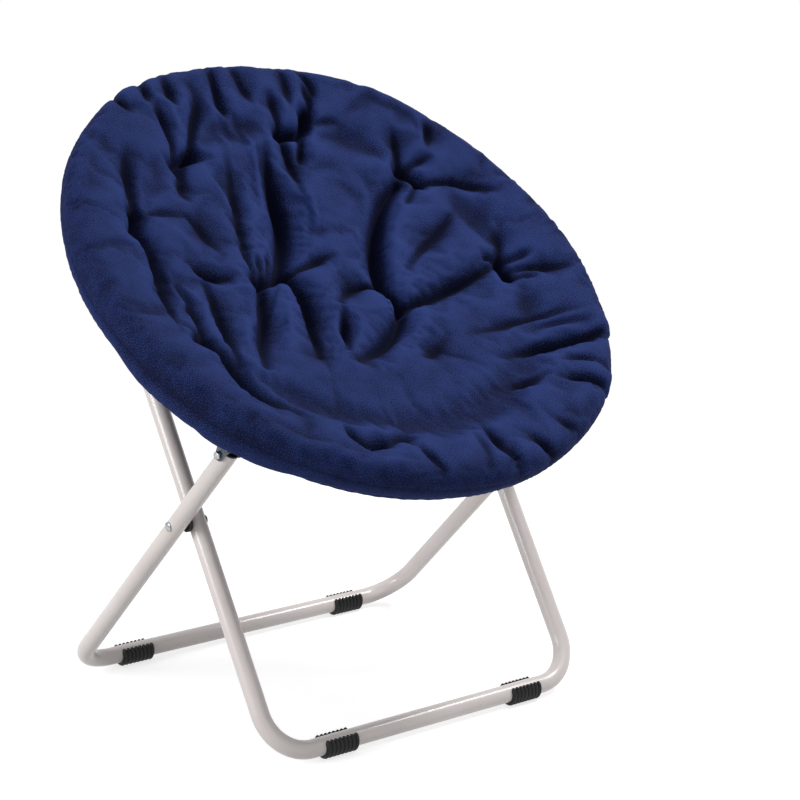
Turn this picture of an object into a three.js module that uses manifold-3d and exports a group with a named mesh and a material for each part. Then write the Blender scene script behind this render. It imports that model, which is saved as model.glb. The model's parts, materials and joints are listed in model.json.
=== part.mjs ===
// Folding saucer chair: a padded round seat on a ring of two hinged tube arcs, on two crossed U-shaped legs.
// Millimetres, +Z up, the chair faces -Y, and left is the sitter's left (+X).
import * as THREE from "three";
import { mergeVertices } from "three/addons/utils/BufferGeometryUtils.js";
import Module from "manifold-3d";

const wasm = await Module();
wasm.setup();

// Driving dimensions of the frame
const outerLegWidth = 580; // between the side tubes' centre lines
const crossGap = 6.5; // between an outer and an inner side tube, where they cross
const outerBarY = 252.6; // rear floor bar, part of the outer leg
const innerBarY = -203.5; // front floor bar, part of the inner leg
const legTubeDiameter = 25;
const legTubeWall = 1.2;
const legBendRadius = 60;
const legTopReach = 7; // tube left above the bracket bolt
const ringRadius = 372; // to the ring tube's centre line
const ringTubeDiameter = 22;
const ringTubeWall = 1.2;
const ringCentreHeight = 581;
const ringTiltDegrees = 37.1; // front edge low, rear edge high
const runningGap = 0.3; // between pieces that touch or turn in each other

// Driving dimensions of the ring hinge
const hingeSetback = 82; // how far behind the front bracket the fold line lies
const hingeRise = 6; // fold line above the ring tube's centre line
const hingeHalfGap = 20; // from the fold line to each tube's mouth, along the ring
const hingePlugDepth = 18;
const hingePlugStandOut = 5;
const hingeLugThickness = 6;
const hingeEyeRadius = 7.2;
const hingeArmHalfHeight = 8; // where it meets its plug
const hingePinRadius = 3;
const hingePinHeadRadius = 6;
const hingePinHeadThickness = 2;

// Driving dimensions of the brackets and their bolts
const bracketDrop = 30.4; // bolt axis below the ring tube's centre line
const bracketPlate = 2.5;
const bracketEarTipRadius = 8;
const bracketHalfLength = 12;
const boltRadius = 3;
const boltHeadAcrossFlats = 10;
const boltHeadThickness = 4;
const nutThickness = 5;
const boltThreadStandOut = 2;

// Driving dimensions of the cross pivot, the plugs and the feet
const crossRivetRadius = 4;
const crossRivetHeadRadius = 6.5;
const crossRivetHeadThickness = 2.2;
const crossSpacerRadius = 12;
const plugCapThickness = 2;
const plugStemLength = 3.5;
const plugStemWall = 2;
const footSole = 4.5; // under the floor bar
const footLength = 52;
const footRibs = 8;
const footGrooveDepth = 1.7;
const footInset = 13; // from the end of a floor bar's bend to the foot beside it

// Driving dimensions of the seat's cloth and padding
const sleeveThickness = 2;
const sleeveHingeCut = 26; // from the fold line to each sleeve's end, along the ring
const sleeveSlitMargin = 1;
const slingThickness = 2;
const slingSag = 46; // from its edge to its lowest point
const cushionRimHeight = 53; // top of the rim roll above the ring tube's centre line
const cushionRimRadius = 24;
const cushionRimReach = 3.4; // how far the roll's centre lies outside the ring tube
const cushionSeamHeight = 8;
const cushionCentreHeight = -2; // top of the padding at the middle
const tuftDepth = 16;
const tuftSpread = 26; // how wide each sewn dimple is
const outerTuftRadius = 278;
const innerTuftRadius = 97;
const frontTuftRadius = 130;
const pleatDepth = 3;
const foldDepth = 14;
const foldSpread = 22; // how wide each long fold is
const foldBendRadius = 70; // where the long folds pass nearest to the middle
const foldEndRadius = 205;
const rimValleyDepth = 6; // dip between the rim's roll and the seat, through the outer tufts

// Tuft directions around the seat in degrees, from the left side towards the back
const outerTuftAngles = [-6, 37, 77, 120, 160, 198, 249, 302];
const innerTuftAngles = [155, -30];
const frontTuftAngle = 243;

// Long folds between the tufts: radius and direction of each point on the way
const longFolds = [
  [[innerTuftRadius, 155], [foldBendRadius, 135], [frontTuftRadius, 102], [foldEndRadius, 102]],
  [[innerTuftRadius, -30], [foldBendRadius, 0], [innerTuftRadius, 20], [foldEndRadius, 40], [outerTuftRadius, 37]],
  [[innerTuftRadius, -30], [outerTuftRadius, -6]],
  [[foldBendRadius, 135], [foldBendRadius, 190], [innerTuftRadius, 220]],
  [[innerTuftRadius, -30], [innerTuftRadius, -60], [frontTuftRadius, frontTuftAngle]],
  [[frontTuftRadius, 205], [foldEndRadius, 196], [outerTuftRadius, 198]],
];

// Facets of the round shapes
const legSides = 18;
const ringSides = 12;
const boltSides = 12;
const legBendSteps = 7;
const ringStepDegrees = 7.5;
const clothTurns = 360 / ringStepDegrees;

// Sizes that follow from the ones above
const rad = THREE.MathUtils.degToRad;
const legRadius = legTubeDiameter / 2;
const legBore = legRadius - legTubeWall;
const ringTubeRadius = ringTubeDiameter / 2;
const ringBore = ringTubeRadius - ringTubeWall;
const barHeight = footSole + legRadius;
const ringTilt = rad(ringTiltDegrees);
const rimCentreHeight = cushionRimHeight - cushionRimRadius;
const ringCentreY = rimCentreHeight * Math.sin(ringTilt); // the padded rim stands centred over the origin
const sleeveInnerRadius = ringTubeRadius + runningGap;
const sleeveOuterRadius = sleeveInnerRadius + sleeveThickness;
const outerLegX = outerLegWidth / 2;
const innerLegX = outerLegX - legTubeDiameter - crossGap;

// A point of the ring's own frame: across, along the slope, and square to the ring
const alongRingAt = (x, side) => side * Math.sqrt(ringRadius ** 2 - x ** 2);
const frontBracketS = alongRingAt(outerLegX, -1);
const rearBracketS = alongRingAt(innerLegX, 1);
const hingeS = frontBracketS + hingeSetback;
const hingeX = Math.sqrt(ringRadius ** 2 - hingeS ** 2);
const hingeAngle = Math.atan2(hingeS, hingeX); // from the left side, negative towards the front

// The same point in the chair's side view, as [y, z]
const sideView = (s, n) => [
  ringCentreY + s * Math.cos(ringTilt) - n * Math.sin(ringTilt),
  ringCentreHeight + s * Math.sin(ringTilt) + n * Math.cos(ringTilt),
];
const outerTop = sideView(frontBracketS, -bracketDrop);
const innerTop = sideView(rearBracketS, -bracketDrop);

// Where the two legs cross in side view
function crossing([ay, az], [by, bz], [cy, cz], [dy, dz]) {
  const turn = (by - ay) * (dz - cz) - (bz - az) * (dy - cy);
  const share = ((cy - ay) * (dz - cz) - (cz - az) * (dy - cy)) / turn;
  return [ay + share * (by - ay), az + share * (bz - az)];
}
const crossPoint = crossing([outerBarY, barHeight], outerTop, [innerBarY, barHeight], innerTop);

// Materials
const paint = new THREE.MeshStandardMaterial({ color: 0xcfc6c1, roughness: 0.32, metalness: 0.1 });
const zinc = new THREE.MeshStandardMaterial({ color: 0x9a9da0, roughness: 0.35, metalness: 0.9 });
const darkSteel = new THREE.MeshStandardMaterial({ color: 0x4a4e55, roughness: 0.4, metalness: 0.8 });
const blackPlastic = new THREE.MeshStandardMaterial({ color: 0x151515, roughness: 0.6, metalness: 0 });
const twill = new THREE.MeshStandardMaterial({ color: 0x1d2b5c, roughness: 0.9, metalness: 0 });
const lining = new THREE.MeshStandardMaterial({ color: 0x18234d, roughness: 0.95, metalness: 0 });

const chair = new THREE.Group();

function group(parent, x, y, z, turnX = 0) {
  const g = new THREE.Group();
  g.position.set(x, y, z);
  g.rotation.x = turnX;
  parent.add(g);
  return g;
}

function part(parent, name, geometry, material) {
  const mesh = new THREE.Mesh(geometry, material);
  mesh.name = name;
  parent.add(mesh);
}

// Makes a piece for the left side and its mirror image for the right side
function pair(parent, name, geometry, material) {
  const mirrored = new THREE.Group();
  mirrored.scale.x = -1;
  parent.add(mirrored);
  part(parent, `${name}_left`, geometry, material);
  part(mirrored, `${name}_right`, geometry, material);
}

// Boolean work
function solid(geometry) {
  const bare = geometry.clone();
  bare.deleteAttribute("normal");
  bare.deleteAttribute("uv");
  const merged = mergeVertices(bare);
  return new wasm.Manifold(
    new wasm.Mesh({
      numProp: 3,
      vertProperties: merged.attributes.position.array,
      triVerts: new Uint32Array(merged.index.array),
    }),
  );
}

function geometryOf(manifold) {
  const { vertProperties, triVerts } = manifold.getMesh();
  const geometry = new THREE.BufferGeometry();
  geometry.setAttribute("position", new THREE.BufferAttribute(vertProperties, 3));
  geometry.setIndex(new THREE.BufferAttribute(triVerts, 1));
  geometry.computeVertexNormals();
  return geometry;
}

const cut = (geometry, ...tools) =>
  geometryOf(tools.reduce((left, tool) => left.subtract(solid(tool)), solid(geometry)));
const join = (...geometries) => geometryOf(geometries.map(solid).reduce((a, b) => a.add(b)));

// A regular outline whose first corner lies on its own X axis
const corners = (radius, sides) =>
  Array.from({ length: sides }, (_, i) => {
    const angle = (2 * Math.PI * i) / sides;
    return new THREE.Vector2(radius * Math.cos(angle), radius * Math.sin(angle));
  });

function roundSection(outer, inner, sides, innerSides = sides) {
  const section = new THREE.Shape(corners(outer, sides));
  if (inner > 0) section.holes.push(new THREE.Path(corners(inner, innerSides)));
  return section;
}

// A path with rings only at the stations given, each a point and a direction
class StationPath extends THREE.Curve {
  constructor(stations) {
    super();
    this.stations = stations;
  }
  at(share) {
    return this.stations[Math.round(share * (this.stations.length - 1))];
  }
  getPointAt(share) {
    return this.at(share).point.clone();
  }
  getTangentAt(share) {
    return this.at(share).direction.clone();
  }
}

const sweep = (section, stations) =>
  new THREE.ExtrudeGeometry(section, { steps: stations.length - 1, extrudePath: new StationPath(stations) });

// A station on a circle about (x, y), and stations from one angle on it to a larger one
const stationAt = (x, y, radius, angle) => ({
  point: new THREE.Vector3(x + radius * Math.cos(angle), y + radius * Math.sin(angle), 0),
  direction: new THREE.Vector3(-Math.sin(angle), Math.cos(angle), 0),
});
const arcStations = (x, y, radius, from, to, steps) =>
  Array.from({ length: steps + 1 }, (_, i) => stationAt(x, y, radius, from + ((to - from) * i) / steps));

// Angles where tubes, sleeves and plugs on the ring all have a ring of points, so that their facets run parallel
const plugEnd = hingeHalfGap + hingePlugDepth;
const hingeTurns = [-plugEnd, -hingeHalfGap, hingeHalfGap, plugEnd].map((along) => hingeAngle + along / ringRadius);
const hingeStops = hingeTurns.flatMap((angle) => [angle, Math.PI - angle, -Math.PI - angle]);
const wholeStops = Array.from({ length: 2 * clothTurns }, (_, i) => rad((i - clothTurns) * ringStepDegrees));
const ringStops = [...hingeStops, ...wholeStops].sort((a, b) => a - b);

function ringStations(from, to) {
  const least = runningGap / ringRadius;
  const between = ringStops.filter((angle) => angle > from + least && angle < to - least);
  return [from, ...between, to].map((angle) => stationAt(0, 0, ringRadius, angle));
}

// A cylinder along X, from one x to another
function crossCylinder(radius, fromX, toX, sides, bore = 0) {
  const section = roundSection(radius, bore, sides, boltSides);
  const cylinder = new THREE.ExtrudeGeometry(section, { depth: Math.abs(toX - fromX), bevelEnabled: false });
  cylinder.rotateY(Math.PI / 2);
  return cylinder.translate(Math.min(fromX, toX), 0, 0);
}

// A flat plate square to X, drawn in the ring's slope and its normal
function crossPlate(shape, fromX, toX) {
  const plate = new THREE.ExtrudeGeometry(shape, { depth: Math.abs(toX - fromX), bevelEnabled: false });
  const axes = new THREE.Matrix4().makeBasis(
    new THREE.Vector3(0, 1, 0),
    new THREE.Vector3(0, 0, 1),
    new THREE.Vector3(1, 0, 0),
  );
  return plate.applyMatrix4(axes).translate(Math.min(fromX, toX), 0, 0);
}

const box = (sizeX, sizeY, sizeZ, x, y, z) => new THREE.BoxGeometry(sizeX, sizeY, sizeZ).translate(x, y, z);

// Legs: each a U of tube in its own plane, x across and y up the leg
function legTube(halfWidth, length, crossAt) {
  const bend = legBendRadius;
  const up = new THREE.Vector3(0, 1, 0);
  const stations = [
    { point: new THREE.Vector3(-halfWidth, length + legTopReach, 0), direction: up.clone().negate() },
    ...arcStations(bend - halfWidth, bend, bend, -Math.PI, -Math.PI / 2, legBendSteps),
    ...arcStations(halfWidth - bend, bend, bend, -Math.PI / 2, 0, legBendSteps),
    { point: new THREE.Vector3(halfWidth, length + legTopReach, 0), direction: up },
  ];
  const tube = sweep(roundSection(legRadius, legBore, legSides), stations);
  const through = halfWidth + legTubeDiameter;
  const boltHole = crossCylinder(boltRadius + runningGap, -through, through, boltSides);
  const rivetHole = crossCylinder(crossRivetRadius + runningGap, -through, through, boltSides);
  return cut(tube, boltHole.translate(0, length, 0), rivetHole.translate(0, crossAt, 0));
}

// Cap that closes a leg's open end above the bracket bolt, with a short hollow stem in the tube
function legPlug() {
  const stem = legBore * Math.cos(Math.PI / legSides) - runningGap;
  const profile = [
    [stem - plugStemWall, -plugStemLength],
    [stem, -plugStemLength],
    [stem, runningGap],
    [legRadius, runningGap],
    [legRadius - plugCapThickness / 2, runningGap + plugCapThickness],
    [0, runningGap + plugCapThickness],
    [0, runningGap],
    [stem - plugStemWall, runningGap],
  ];
  const points = [...profile, profile[0]].map(([r, y]) => new THREE.Vector2(r, y));
  return new THREE.LatheGeometry(points, boltSides);
}

function leg(name, barY, halfWidth, top) {
  const lean = Math.atan2(top[1] - barHeight, top[0] - barY);
  const length = Math.hypot(top[1] - barHeight, top[0] - barY);
  const crossAt = Math.hypot(crossPoint[1] - barHeight, crossPoint[0] - barY);
  const frame = group(chair, 0, barY, barHeight, lean);
  part(frame, `${name}_tube`, legTube(halfWidth, length, crossAt), paint);
  pair(frame, `${name}_plug`, legPlug().translate(halfWidth, length + legTopReach, 0), blackPlastic);
}

// Snap-on foot: a ribbed clip, open on top, with a flat sole that fills the grooves underneath
function foot() {
  const halfRibs = footRibs * 2;
  const lip = rad(138);
  const soleEdge = rad(15);
  const outerTurns = [-lip, ...[-105, -75, -45].map(rad), -soleEdge, soleEdge, ...[45, 75, 105].map(rad), lip];
  const boreFacets = 7;
  const innerTurns = Array.from({ length: boreFacets + 1 }, (_, i) => lip * (1 - (2 * i) / boreFacets));
  const crest = barHeight / Math.cos(soleEdge);
  const bore = (legRadius + runningGap) / Math.cos(lip / boreFacets);
  const positions = [];
  for (let i = 0; i <= halfRibs; i += 1) {
    const x = (i / halfRibs - 0.5) * footLength;
    for (const turn of outerTurns) {
      const grooved = i % 2 === 0 && Math.abs(turn) > soleEdge;
      const radius = grooved ? crest - footGrooveDepth : crest;
      positions.push(x, radius * Math.sin(turn), -radius * Math.cos(turn));
    }
    for (const turn of innerTurns) positions.push(x, bore * Math.sin(turn), -bore * Math.cos(turn));
  }
  const around = outerTurns.length + innerTurns.length;
  const index = [];
  for (let i = 0; i < halfRibs; i += 1)
    for (let j = 0; j < around; j += 1) {
      const [a, b] = [i * around + j, i * around + ((j + 1) % around)];
      index.push(a, b, b + around, a, b + around, a + around);
    }
  const last = halfRibs * around;
  const endCorner = (_, j) => new THREE.Vector2(positions[3 * j + 1], positions[3 * j + 2]);
  const end = Array.from({ length: around }, endCorner);
  for (const [a, b, c] of THREE.ShapeUtils.triangulateShape(end, [])) {
    index.push(a, c, b);
    index.push(last + a, last + b, last + c);
  }
  const clip = new THREE.BufferGeometry();
  clip.setAttribute("position", new THREE.Float32BufferAttribute(positions, 3));
  clip.setIndex(index);
  clip.computeVertexNormals();
  return clip;
}

// Ring: two arcs of tube, hinged to each other on both sides
function ringArc(from, to, sectionOuter, sectionInner, endGap) {
  const shortBy = endGap / ringRadius;
  return sweep(roundSection(sectionOuter, sectionInner, ringSides), ringStations(from + shortBy, to - shortBy));
}
const frontArc = [-Math.PI - hingeAngle, hingeAngle];
const rearArc = [hingeAngle, Math.PI - hingeAngle];

// Half of the ring hinge: a plug in the tube's mouth and a flat lug with an eye round the pin
function hingeHalf(towards) {
  const inside = hingeAngle + (towards * plugEnd) / ringRadius;
  const outside = hingeAngle + (towards * (hingeHalfGap - hingePlugStandOut)) / ringRadius;
  const plugRadius = ringBore - runningGap;
  const plug = sweep(
    roundSection(plugRadius, 0, ringSides),
    ringStations(Math.min(inside, outside), Math.max(inside, outside)),
  );
  const armEnd = towards * hingeHalfGap * Math.cos(hingeAngle);
  const arm = new THREE.Shape();
  arm.moveTo(armEnd, hingeArmHalfHeight - hingeRise);
  arm.absarc(0, 0, hingeEyeRadius, Math.PI / 2, -Math.PI / 2, towards < 0);
  arm.lineTo(armEnd, -hingeArmHalfHeight - hingeRise);
  arm.closePath();
  arm.holes.push(new THREE.Path(corners(hingePinRadius + runningGap, boltSides)));
  const [near, far] = [runningGap / 2, runningGap / 2 + hingeLugThickness].map((offset) => towards * offset);
  const lug = crossPlate(arm, near, far).translate(hingeX, hingeS, hingeRise);
  return join(plug, lug);
}

function hingePin() {
  const inner = hingeX - hingeLugThickness - runningGap * 1.5;
  const outer = hingeX + hingeLugThickness + runningGap * 1.5;
  const head = hingePinHeadThickness;
  return join(
    crossCylinder(hingePinRadius, inner - head / 2, outer + head / 2, boltSides),
    crossCylinder(hingePinHeadRadius, inner - head, inner, boltSides),
    crossCylinder(hingePinHeadRadius, outer, outer + head, boltSides),
  ).translate(0, hingeS, hingeRise);
}

// Bracket: a channel under the ring tube whose two ears straddle the leg's end, centred on its bolt
const earInside = legRadius + runningGap;
const earOutside = earInside + bracketPlate;
const webTop = bracketDrop - ringTubeRadius - runningGap;

function bracket() {
  const ear = new THREE.Shape();
  ear.moveTo(-bracketHalfLength, webTop);
  ear.lineTo(-bracketEarTipRadius, 0);
  ear.absarc(0, 0, bracketEarTipRadius, Math.PI, 2 * Math.PI, false);
  ear.lineTo(bracketHalfLength, webTop);
  ear.closePath();
  ear.holes.push(new THREE.Path(corners(boltRadius + runningGap, boltSides)));
  const web = box(2 * earOutside, 2 * bracketHalfLength, bracketPlate, 0, 0, webTop - bracketPlate / 2);
  return join(crossPlate(ear, earInside, earOutside), crossPlate(ear, -earOutside, -earInside), web);
}

const hexRadius = boltHeadAcrossFlats / Math.sqrt(3);
const boltHeadStart = earOutside + runningGap;

function bolt() {
  const shankEnd = -boltHeadStart - nutThickness - boltThreadStandOut;
  return join(
    crossCylinder(boltRadius, shankEnd, boltHeadStart + boltHeadThickness / 2, boltSides),
    crossCylinder(hexRadius, boltHeadStart, boltHeadStart + boltHeadThickness, 6),
  );
}

const nut = () =>
  crossCylinder(hexRadius, -boltHeadStart - nutThickness, -boltHeadStart, 6, boltRadius + runningGap);

// Cloth sleeves round the ring, slit where a bracket comes through
function slit(x, s) {
  const sizeX = 2 * (earOutside + sleeveSlitMargin);
  const sizeS = 2 * (bracketHalfLength + sleeveSlitMargin);
  return box(sizeX, sizeS, ringTubeRadius, x, s, -ringTubeRadius - runningGap);
}

function sleeve([from, to], bracketX, bracketS) {
  const tube = ringArc(from, to, sleeveOuterRadius, sleeveInnerRadius, sleeveHingeCut);
  return cut(tube, slit(bracketX, bracketS), slit(-bracketX, bracketS));
}

// Sling: a shallow cloth dish stretched inside the ring, under the padding
const slingRadius = ringRadius - sleeveOuterRadius - runningGap;
const slingTop = (r) => -slingSag * (1 - (r / slingRadius) ** 2);
const dishShares = [0, 0.32, 0.6, 0.82, 1];

function sling() {
  const top = dishShares.map((share) => new THREE.Vector2(share * slingRadius, slingTop(share * slingRadius)));
  const under = top.map(({ x, y }) => new THREE.Vector2(x, y - slingThickness));
  return new THREE.LatheGeometry([...under, ...top.reverse()], clothTurns).rotateX(Math.PI / 2);
}

// Padding: a saucer with a rolled rim, sewn through to the sling at its tufts
const rimRollRadius = ringRadius + cushionRimReach;
const saucerPower = 2.1;
const hollowTurn = rad(50); // between the corners of the hollow that clears the ring and its hinges
const saucerTop = (r) =>
  cushionCentreHeight + (cushionRimHeight - cushionCentreHeight) * Math.min(1, r / ringRadius) ** saucerPower;
const onRim = (angle) => [
  rimRollRadius + cushionRimRadius * Math.cos(angle),
  rimCentreHeight + cushionRimRadius * Math.sin(angle),
];

const onSeat = ([r, angle]) => new THREE.Vector3(r * Math.cos(rad(angle)), r * Math.sin(rad(angle)), 0);
const hollowed = (depth, distance, spread) => depth * Math.exp(-((distance / spread) ** 2));
const tufts = [
  ...outerTuftAngles.map((angle) => onSeat([outerTuftRadius, angle])),
  ...innerTuftAngles.map((angle) => onSeat([innerTuftRadius, angle])),
  onSeat([frontTuftRadius, frontTuftAngle]),
];
const foldLines = longFolds.flatMap((stops) => {
  const points = stops.map(onSeat);
  return points.slice(1).map((end, i) => new THREE.Line3(points[i], end));
});

// How far the padding's top is drawn down at a place: a dimple at each tuft, a pleat from it to the rim,
// the nearest long fold, and the valley inside the rim
function drawnIn(x, s) {
  const place = new THREE.Vector3(x, s, 0);
  const dimple = (tuft) => hollowed(tuftDepth, place.distanceTo(tuft), tuftSpread);
  const dimples = tufts.reduce((sum, tuft) => sum + dimple(tuft), 0);
  const toLine = (line) => line.closestPointToPoint(place, true, new THREE.Vector3()).distanceTo(place);
  const fold = hollowed(foldDepth, Math.min(...foldLines.map(toLine)), foldSpread);
  const r = Math.hypot(x, s);
  const rimValley = hollowed(rimValleyDepth, r - outerTuftRadius, tuftSpread);
  const near = Math.max(...outerTuftAngles.map((angle) => Math.cos(Math.atan2(s, x) - rad(angle))));
  const sideways = r * Math.sqrt(1 - near ** 2);
  const pleatLength = ringRadius - outerTuftRadius;
  const alongPleat = (r - outerTuftRadius - pleatLength / 2) / pleatLength;
  const pleat = pleatDepth * Math.exp(-((sideways / tuftSpread) ** 2) - alongPleat ** 2);
  return Math.min(tuftDepth, dimples + pleat + fold + rimValley);
}

function cushion() {
  const hingeReach = Math.hypot(hingeLugThickness, hingeRise + hingeEyeRadius) + runningGap;
  const overRing = (turn) => [
    ringRadius + (hingeReach * Math.cos(turn)) / Math.cos(hollowTurn / 2),
    (hingeReach * Math.sin(turn)) / Math.cos(hollowTurn / 2),
  ];
  const underRadii = dishShares.slice(0, -1).map((share) => share * slingRadius);
  const under = underRadii.map((r) => [r, slingTop(r) + runningGap]);
  const seam = [rimRollRadius + cushionRimRadius / 2, cushionSeamHeight];
  const side = [seam, ...[-26, 11, 49].map(rad).map(onRim)];
  const topShares = [0.97, 0.91, 0.85, 0.8, 0.75, 0.69, 0.62, 0.54, 0.46, 0.38, 0.31, 0.24, 0.16, 0.08, 0];
  const top = topShares.map((share) => [share * ringRadius, saucerTop(share * ringRadius)]);
  const hollow = [1, 0, -1].map((step) => overRing(Math.PI / 2 + step * hollowTurn));
  const lower = [...under, ...hollow, ...side, onRim(Math.PI / 2)];
  const profile = [...lower, ...top].map(([r, n]) => new THREE.Vector2(r, n));
  const saucer = new THREE.LatheGeometry(profile, clothTurns).rotateX(Math.PI / 2);
  const position = saucer.attributes.position;
  for (let i = 0; i < position.count; i += 1) {
    const onTop = i % profile.length >= lower.length;
    const drop = onTop ? drawnIn(position.getX(i), position.getY(i)) : 0;
    position.setZ(i, position.getZ(i) - drop);
  }
  return saucer;
}

// The chair
leg("outer_leg", outerBarY, outerLegX, outerTop);
leg("inner_leg", innerBarY, innerLegX, innerTop);

const footX = (legX) => legX - legBendRadius - footInset - footLength / 2;
const rearBar = group(chair, 0, outerBarY, barHeight);
pair(rearBar, "outer_foot", foot().translate(footX(outerLegX), 0, 0), blackPlastic);
const frontBar = group(chair, 0, innerBarY, barHeight);
pair(frontBar, "inner_foot", foot().translate(footX(innerLegX), 0, 0), blackPlastic);

// Cross pivot: the rivet's head, shank and spacer stay with the outer leg, its tail with the inner leg
const cross = group(chair, 0, ...crossPoint);
const outerFace = outerLegX + legRadius + runningGap;
const betweenOuter = outerLegX - legRadius - runningGap;
const betweenInner = innerLegX + legRadius + runningGap;
const innerFace = innerLegX - legRadius - runningGap;
const rivetHead = crossRivetHeadThickness;
const rivet = join(
  crossCylinder(crossRivetRadius, betweenInner, outerFace + rivetHead / 2, boltSides),
  crossCylinder(crossRivetHeadRadius, outerFace, outerFace + rivetHead, boltSides),
);
const rivetTail = join(
  crossCylinder(crossRivetRadius, innerFace - rivetHead / 2, betweenInner - runningGap, boltSides),
  crossCylinder(crossRivetHeadRadius, innerFace - rivetHead, innerFace, boltSides),
);
const spacerBore = crossRivetRadius + runningGap;
const spacer = crossCylinder(crossSpacerRadius, betweenInner, betweenOuter, boltSides, spacerBore);
pair(cross, "cross_rivet", rivet, zinc);
pair(cross, "cross_rivet_tail", rivetTail, zinc);
pair(cross, "cross_spacer", spacer, blackPlastic);

const ring = group(chair, 0, ringCentreY, ringCentreHeight, ringTilt);
part(ring, "ring_front_tube", ringArc(...frontArc, ringTubeRadius, ringBore, hingeHalfGap), paint);
part(ring, "ring_rear_tube", ringArc(...rearArc, ringTubeRadius, ringBore, hingeHalfGap), paint);
pair(ring, "ring_hinge_front", hingeHalf(-1), darkSteel);
pair(ring, "ring_hinge_rear", hingeHalf(1), darkSteel);
pair(ring, "ring_hinge_pin", hingePin(), zinc);

const fixings = [
  ["front", outerLegX, frontBracketS],
  ["rear", innerLegX, rearBracketS],
];
for (const [end, x, s] of fixings) {
  pair(ring, `${end}_bracket`, bracket().translate(x, s, -bracketDrop), darkSteel);
  pair(ring, `${end}_bolt`, bolt().translate(x, s, -bracketDrop), zinc);
  pair(ring, `${end}_nut`, nut().translate(x, s, -bracketDrop), zinc);
}

part(ring, "ring_sleeve_front", sleeve(frontArc, outerLegX, frontBracketS), twill);
part(ring, "ring_sleeve_rear", sleeve(rearArc, innerLegX, rearBracketS), twill);
part(ring, "seat_sling", sling(), lining);
part(ring, "seat_cushion", cushion(), twill);

export default chair;
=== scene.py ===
# %% [markdown]
# # Dressing a folding saucer chair
# The chair is a round padded seat on a hinged tube ring, carried by two crossed U-shaped legs. Its
# construction is already fixed: every tube, bolt and hinge has its place in the frame that is loaded here.
# This lesson gives each piece the surface that the real one has, and never moves anything. All lengths are
# in metres.

# %% Load the frame
import json
from math import atan2, cos, hypot, pi, radians, sin, sqrt

import bmesh
import bpy
import numpy as np
from mathutils import Matrix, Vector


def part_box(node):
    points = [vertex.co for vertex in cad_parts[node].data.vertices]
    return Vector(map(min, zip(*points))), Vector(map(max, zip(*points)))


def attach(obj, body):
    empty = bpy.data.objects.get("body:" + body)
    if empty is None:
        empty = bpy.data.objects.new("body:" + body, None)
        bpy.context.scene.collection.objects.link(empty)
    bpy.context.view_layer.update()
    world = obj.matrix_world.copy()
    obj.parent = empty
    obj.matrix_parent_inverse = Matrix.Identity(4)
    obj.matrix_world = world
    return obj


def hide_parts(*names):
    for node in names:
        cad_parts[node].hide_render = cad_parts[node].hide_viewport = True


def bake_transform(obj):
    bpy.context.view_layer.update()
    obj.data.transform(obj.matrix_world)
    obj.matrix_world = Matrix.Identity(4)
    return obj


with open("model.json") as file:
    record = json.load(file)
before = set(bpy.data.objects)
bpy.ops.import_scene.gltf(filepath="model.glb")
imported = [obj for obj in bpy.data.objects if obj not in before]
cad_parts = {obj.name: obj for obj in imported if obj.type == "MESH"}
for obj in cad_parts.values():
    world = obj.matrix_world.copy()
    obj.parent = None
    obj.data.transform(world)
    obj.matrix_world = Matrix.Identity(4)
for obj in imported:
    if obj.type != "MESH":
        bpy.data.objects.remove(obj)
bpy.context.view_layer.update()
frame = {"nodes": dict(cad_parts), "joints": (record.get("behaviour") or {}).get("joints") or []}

mm = 0.001
pivot = {joint["name"]: np.array(joint["pos_m"]) for joint in frame["joints"]}
print(len(frame["nodes"]), "pieces in the frame; joints:", ", ".join(pivot))

# %% [markdown]
# ## Where the camera stood
# A product photograph is taken from a few metres away with a long lens, so parallel tubes stay almost
# parallel. The camera could be placed by eye, but a solved position lets a pixel of the photograph be
# followed back to a place on the cloth, and the folds of the seat are placed that way further down.

# %% Camera
camera_place = np.array([-1.7635, -2.3677, 1.1176])
camera_turn = radians(-38.2)
camera_rise = radians(13.36)
camera_roll = radians(0.615)
picture_pixels = 800
focal_pixels = 2193.7
sensor_width = 36


def camera_axes():
    """Right, up and backward of the camera.
    Backward comes from the two angles, right and up are square to it and then rolled about it."""
    level_back = np.array([sin(camera_turn), -cos(camera_turn)])
    backward = np.array([*(level_back * cos(camera_rise)), sin(camera_rise)])
    level = np.cross([0, 0, 1], backward)
    level /= np.linalg.norm(level)
    upward = np.cross(backward, level)
    right = cos(camera_roll) * level + sin(camera_roll) * upward
    return np.array([right, cos(camera_roll) * upward - sin(camera_roll) * level, backward])


lens = bpy.data.cameras.new("portrait_lens")
lens.sensor_width = sensor_width
lens.lens = focal_pixels * sensor_width / picture_pixels
lens.clip_start = 0.1
camera = bpy.data.objects.new("portrait_camera", lens)
camera_matrix = np.eye(4)
camera_matrix[:3, :3] = camera_axes().T
camera_matrix[:3, 3] = camera_place
camera.matrix_world = Matrix(camera_matrix.tolist())
bpy.context.scene.collection.objects.link(camera)
bpy.context.scene.camera = camera
camera_distance = float(np.linalg.norm(camera_place))
print("lens of", round(lens.lens, 1), "mm,", round(camera_distance, 2), "m from the chair")

# %% [markdown]
# ## From arrays of points to meshes
# Nearly every piece here is a surface with two parameters: rows run along it and columns run round it. An
# array formula works out all points at once, and the mesh only has to join neighbours by quads. Primitives
# and booleans would also do, but they leave thin triangles that catch the light. A soft edge is one more
# row close to the edge.

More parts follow.
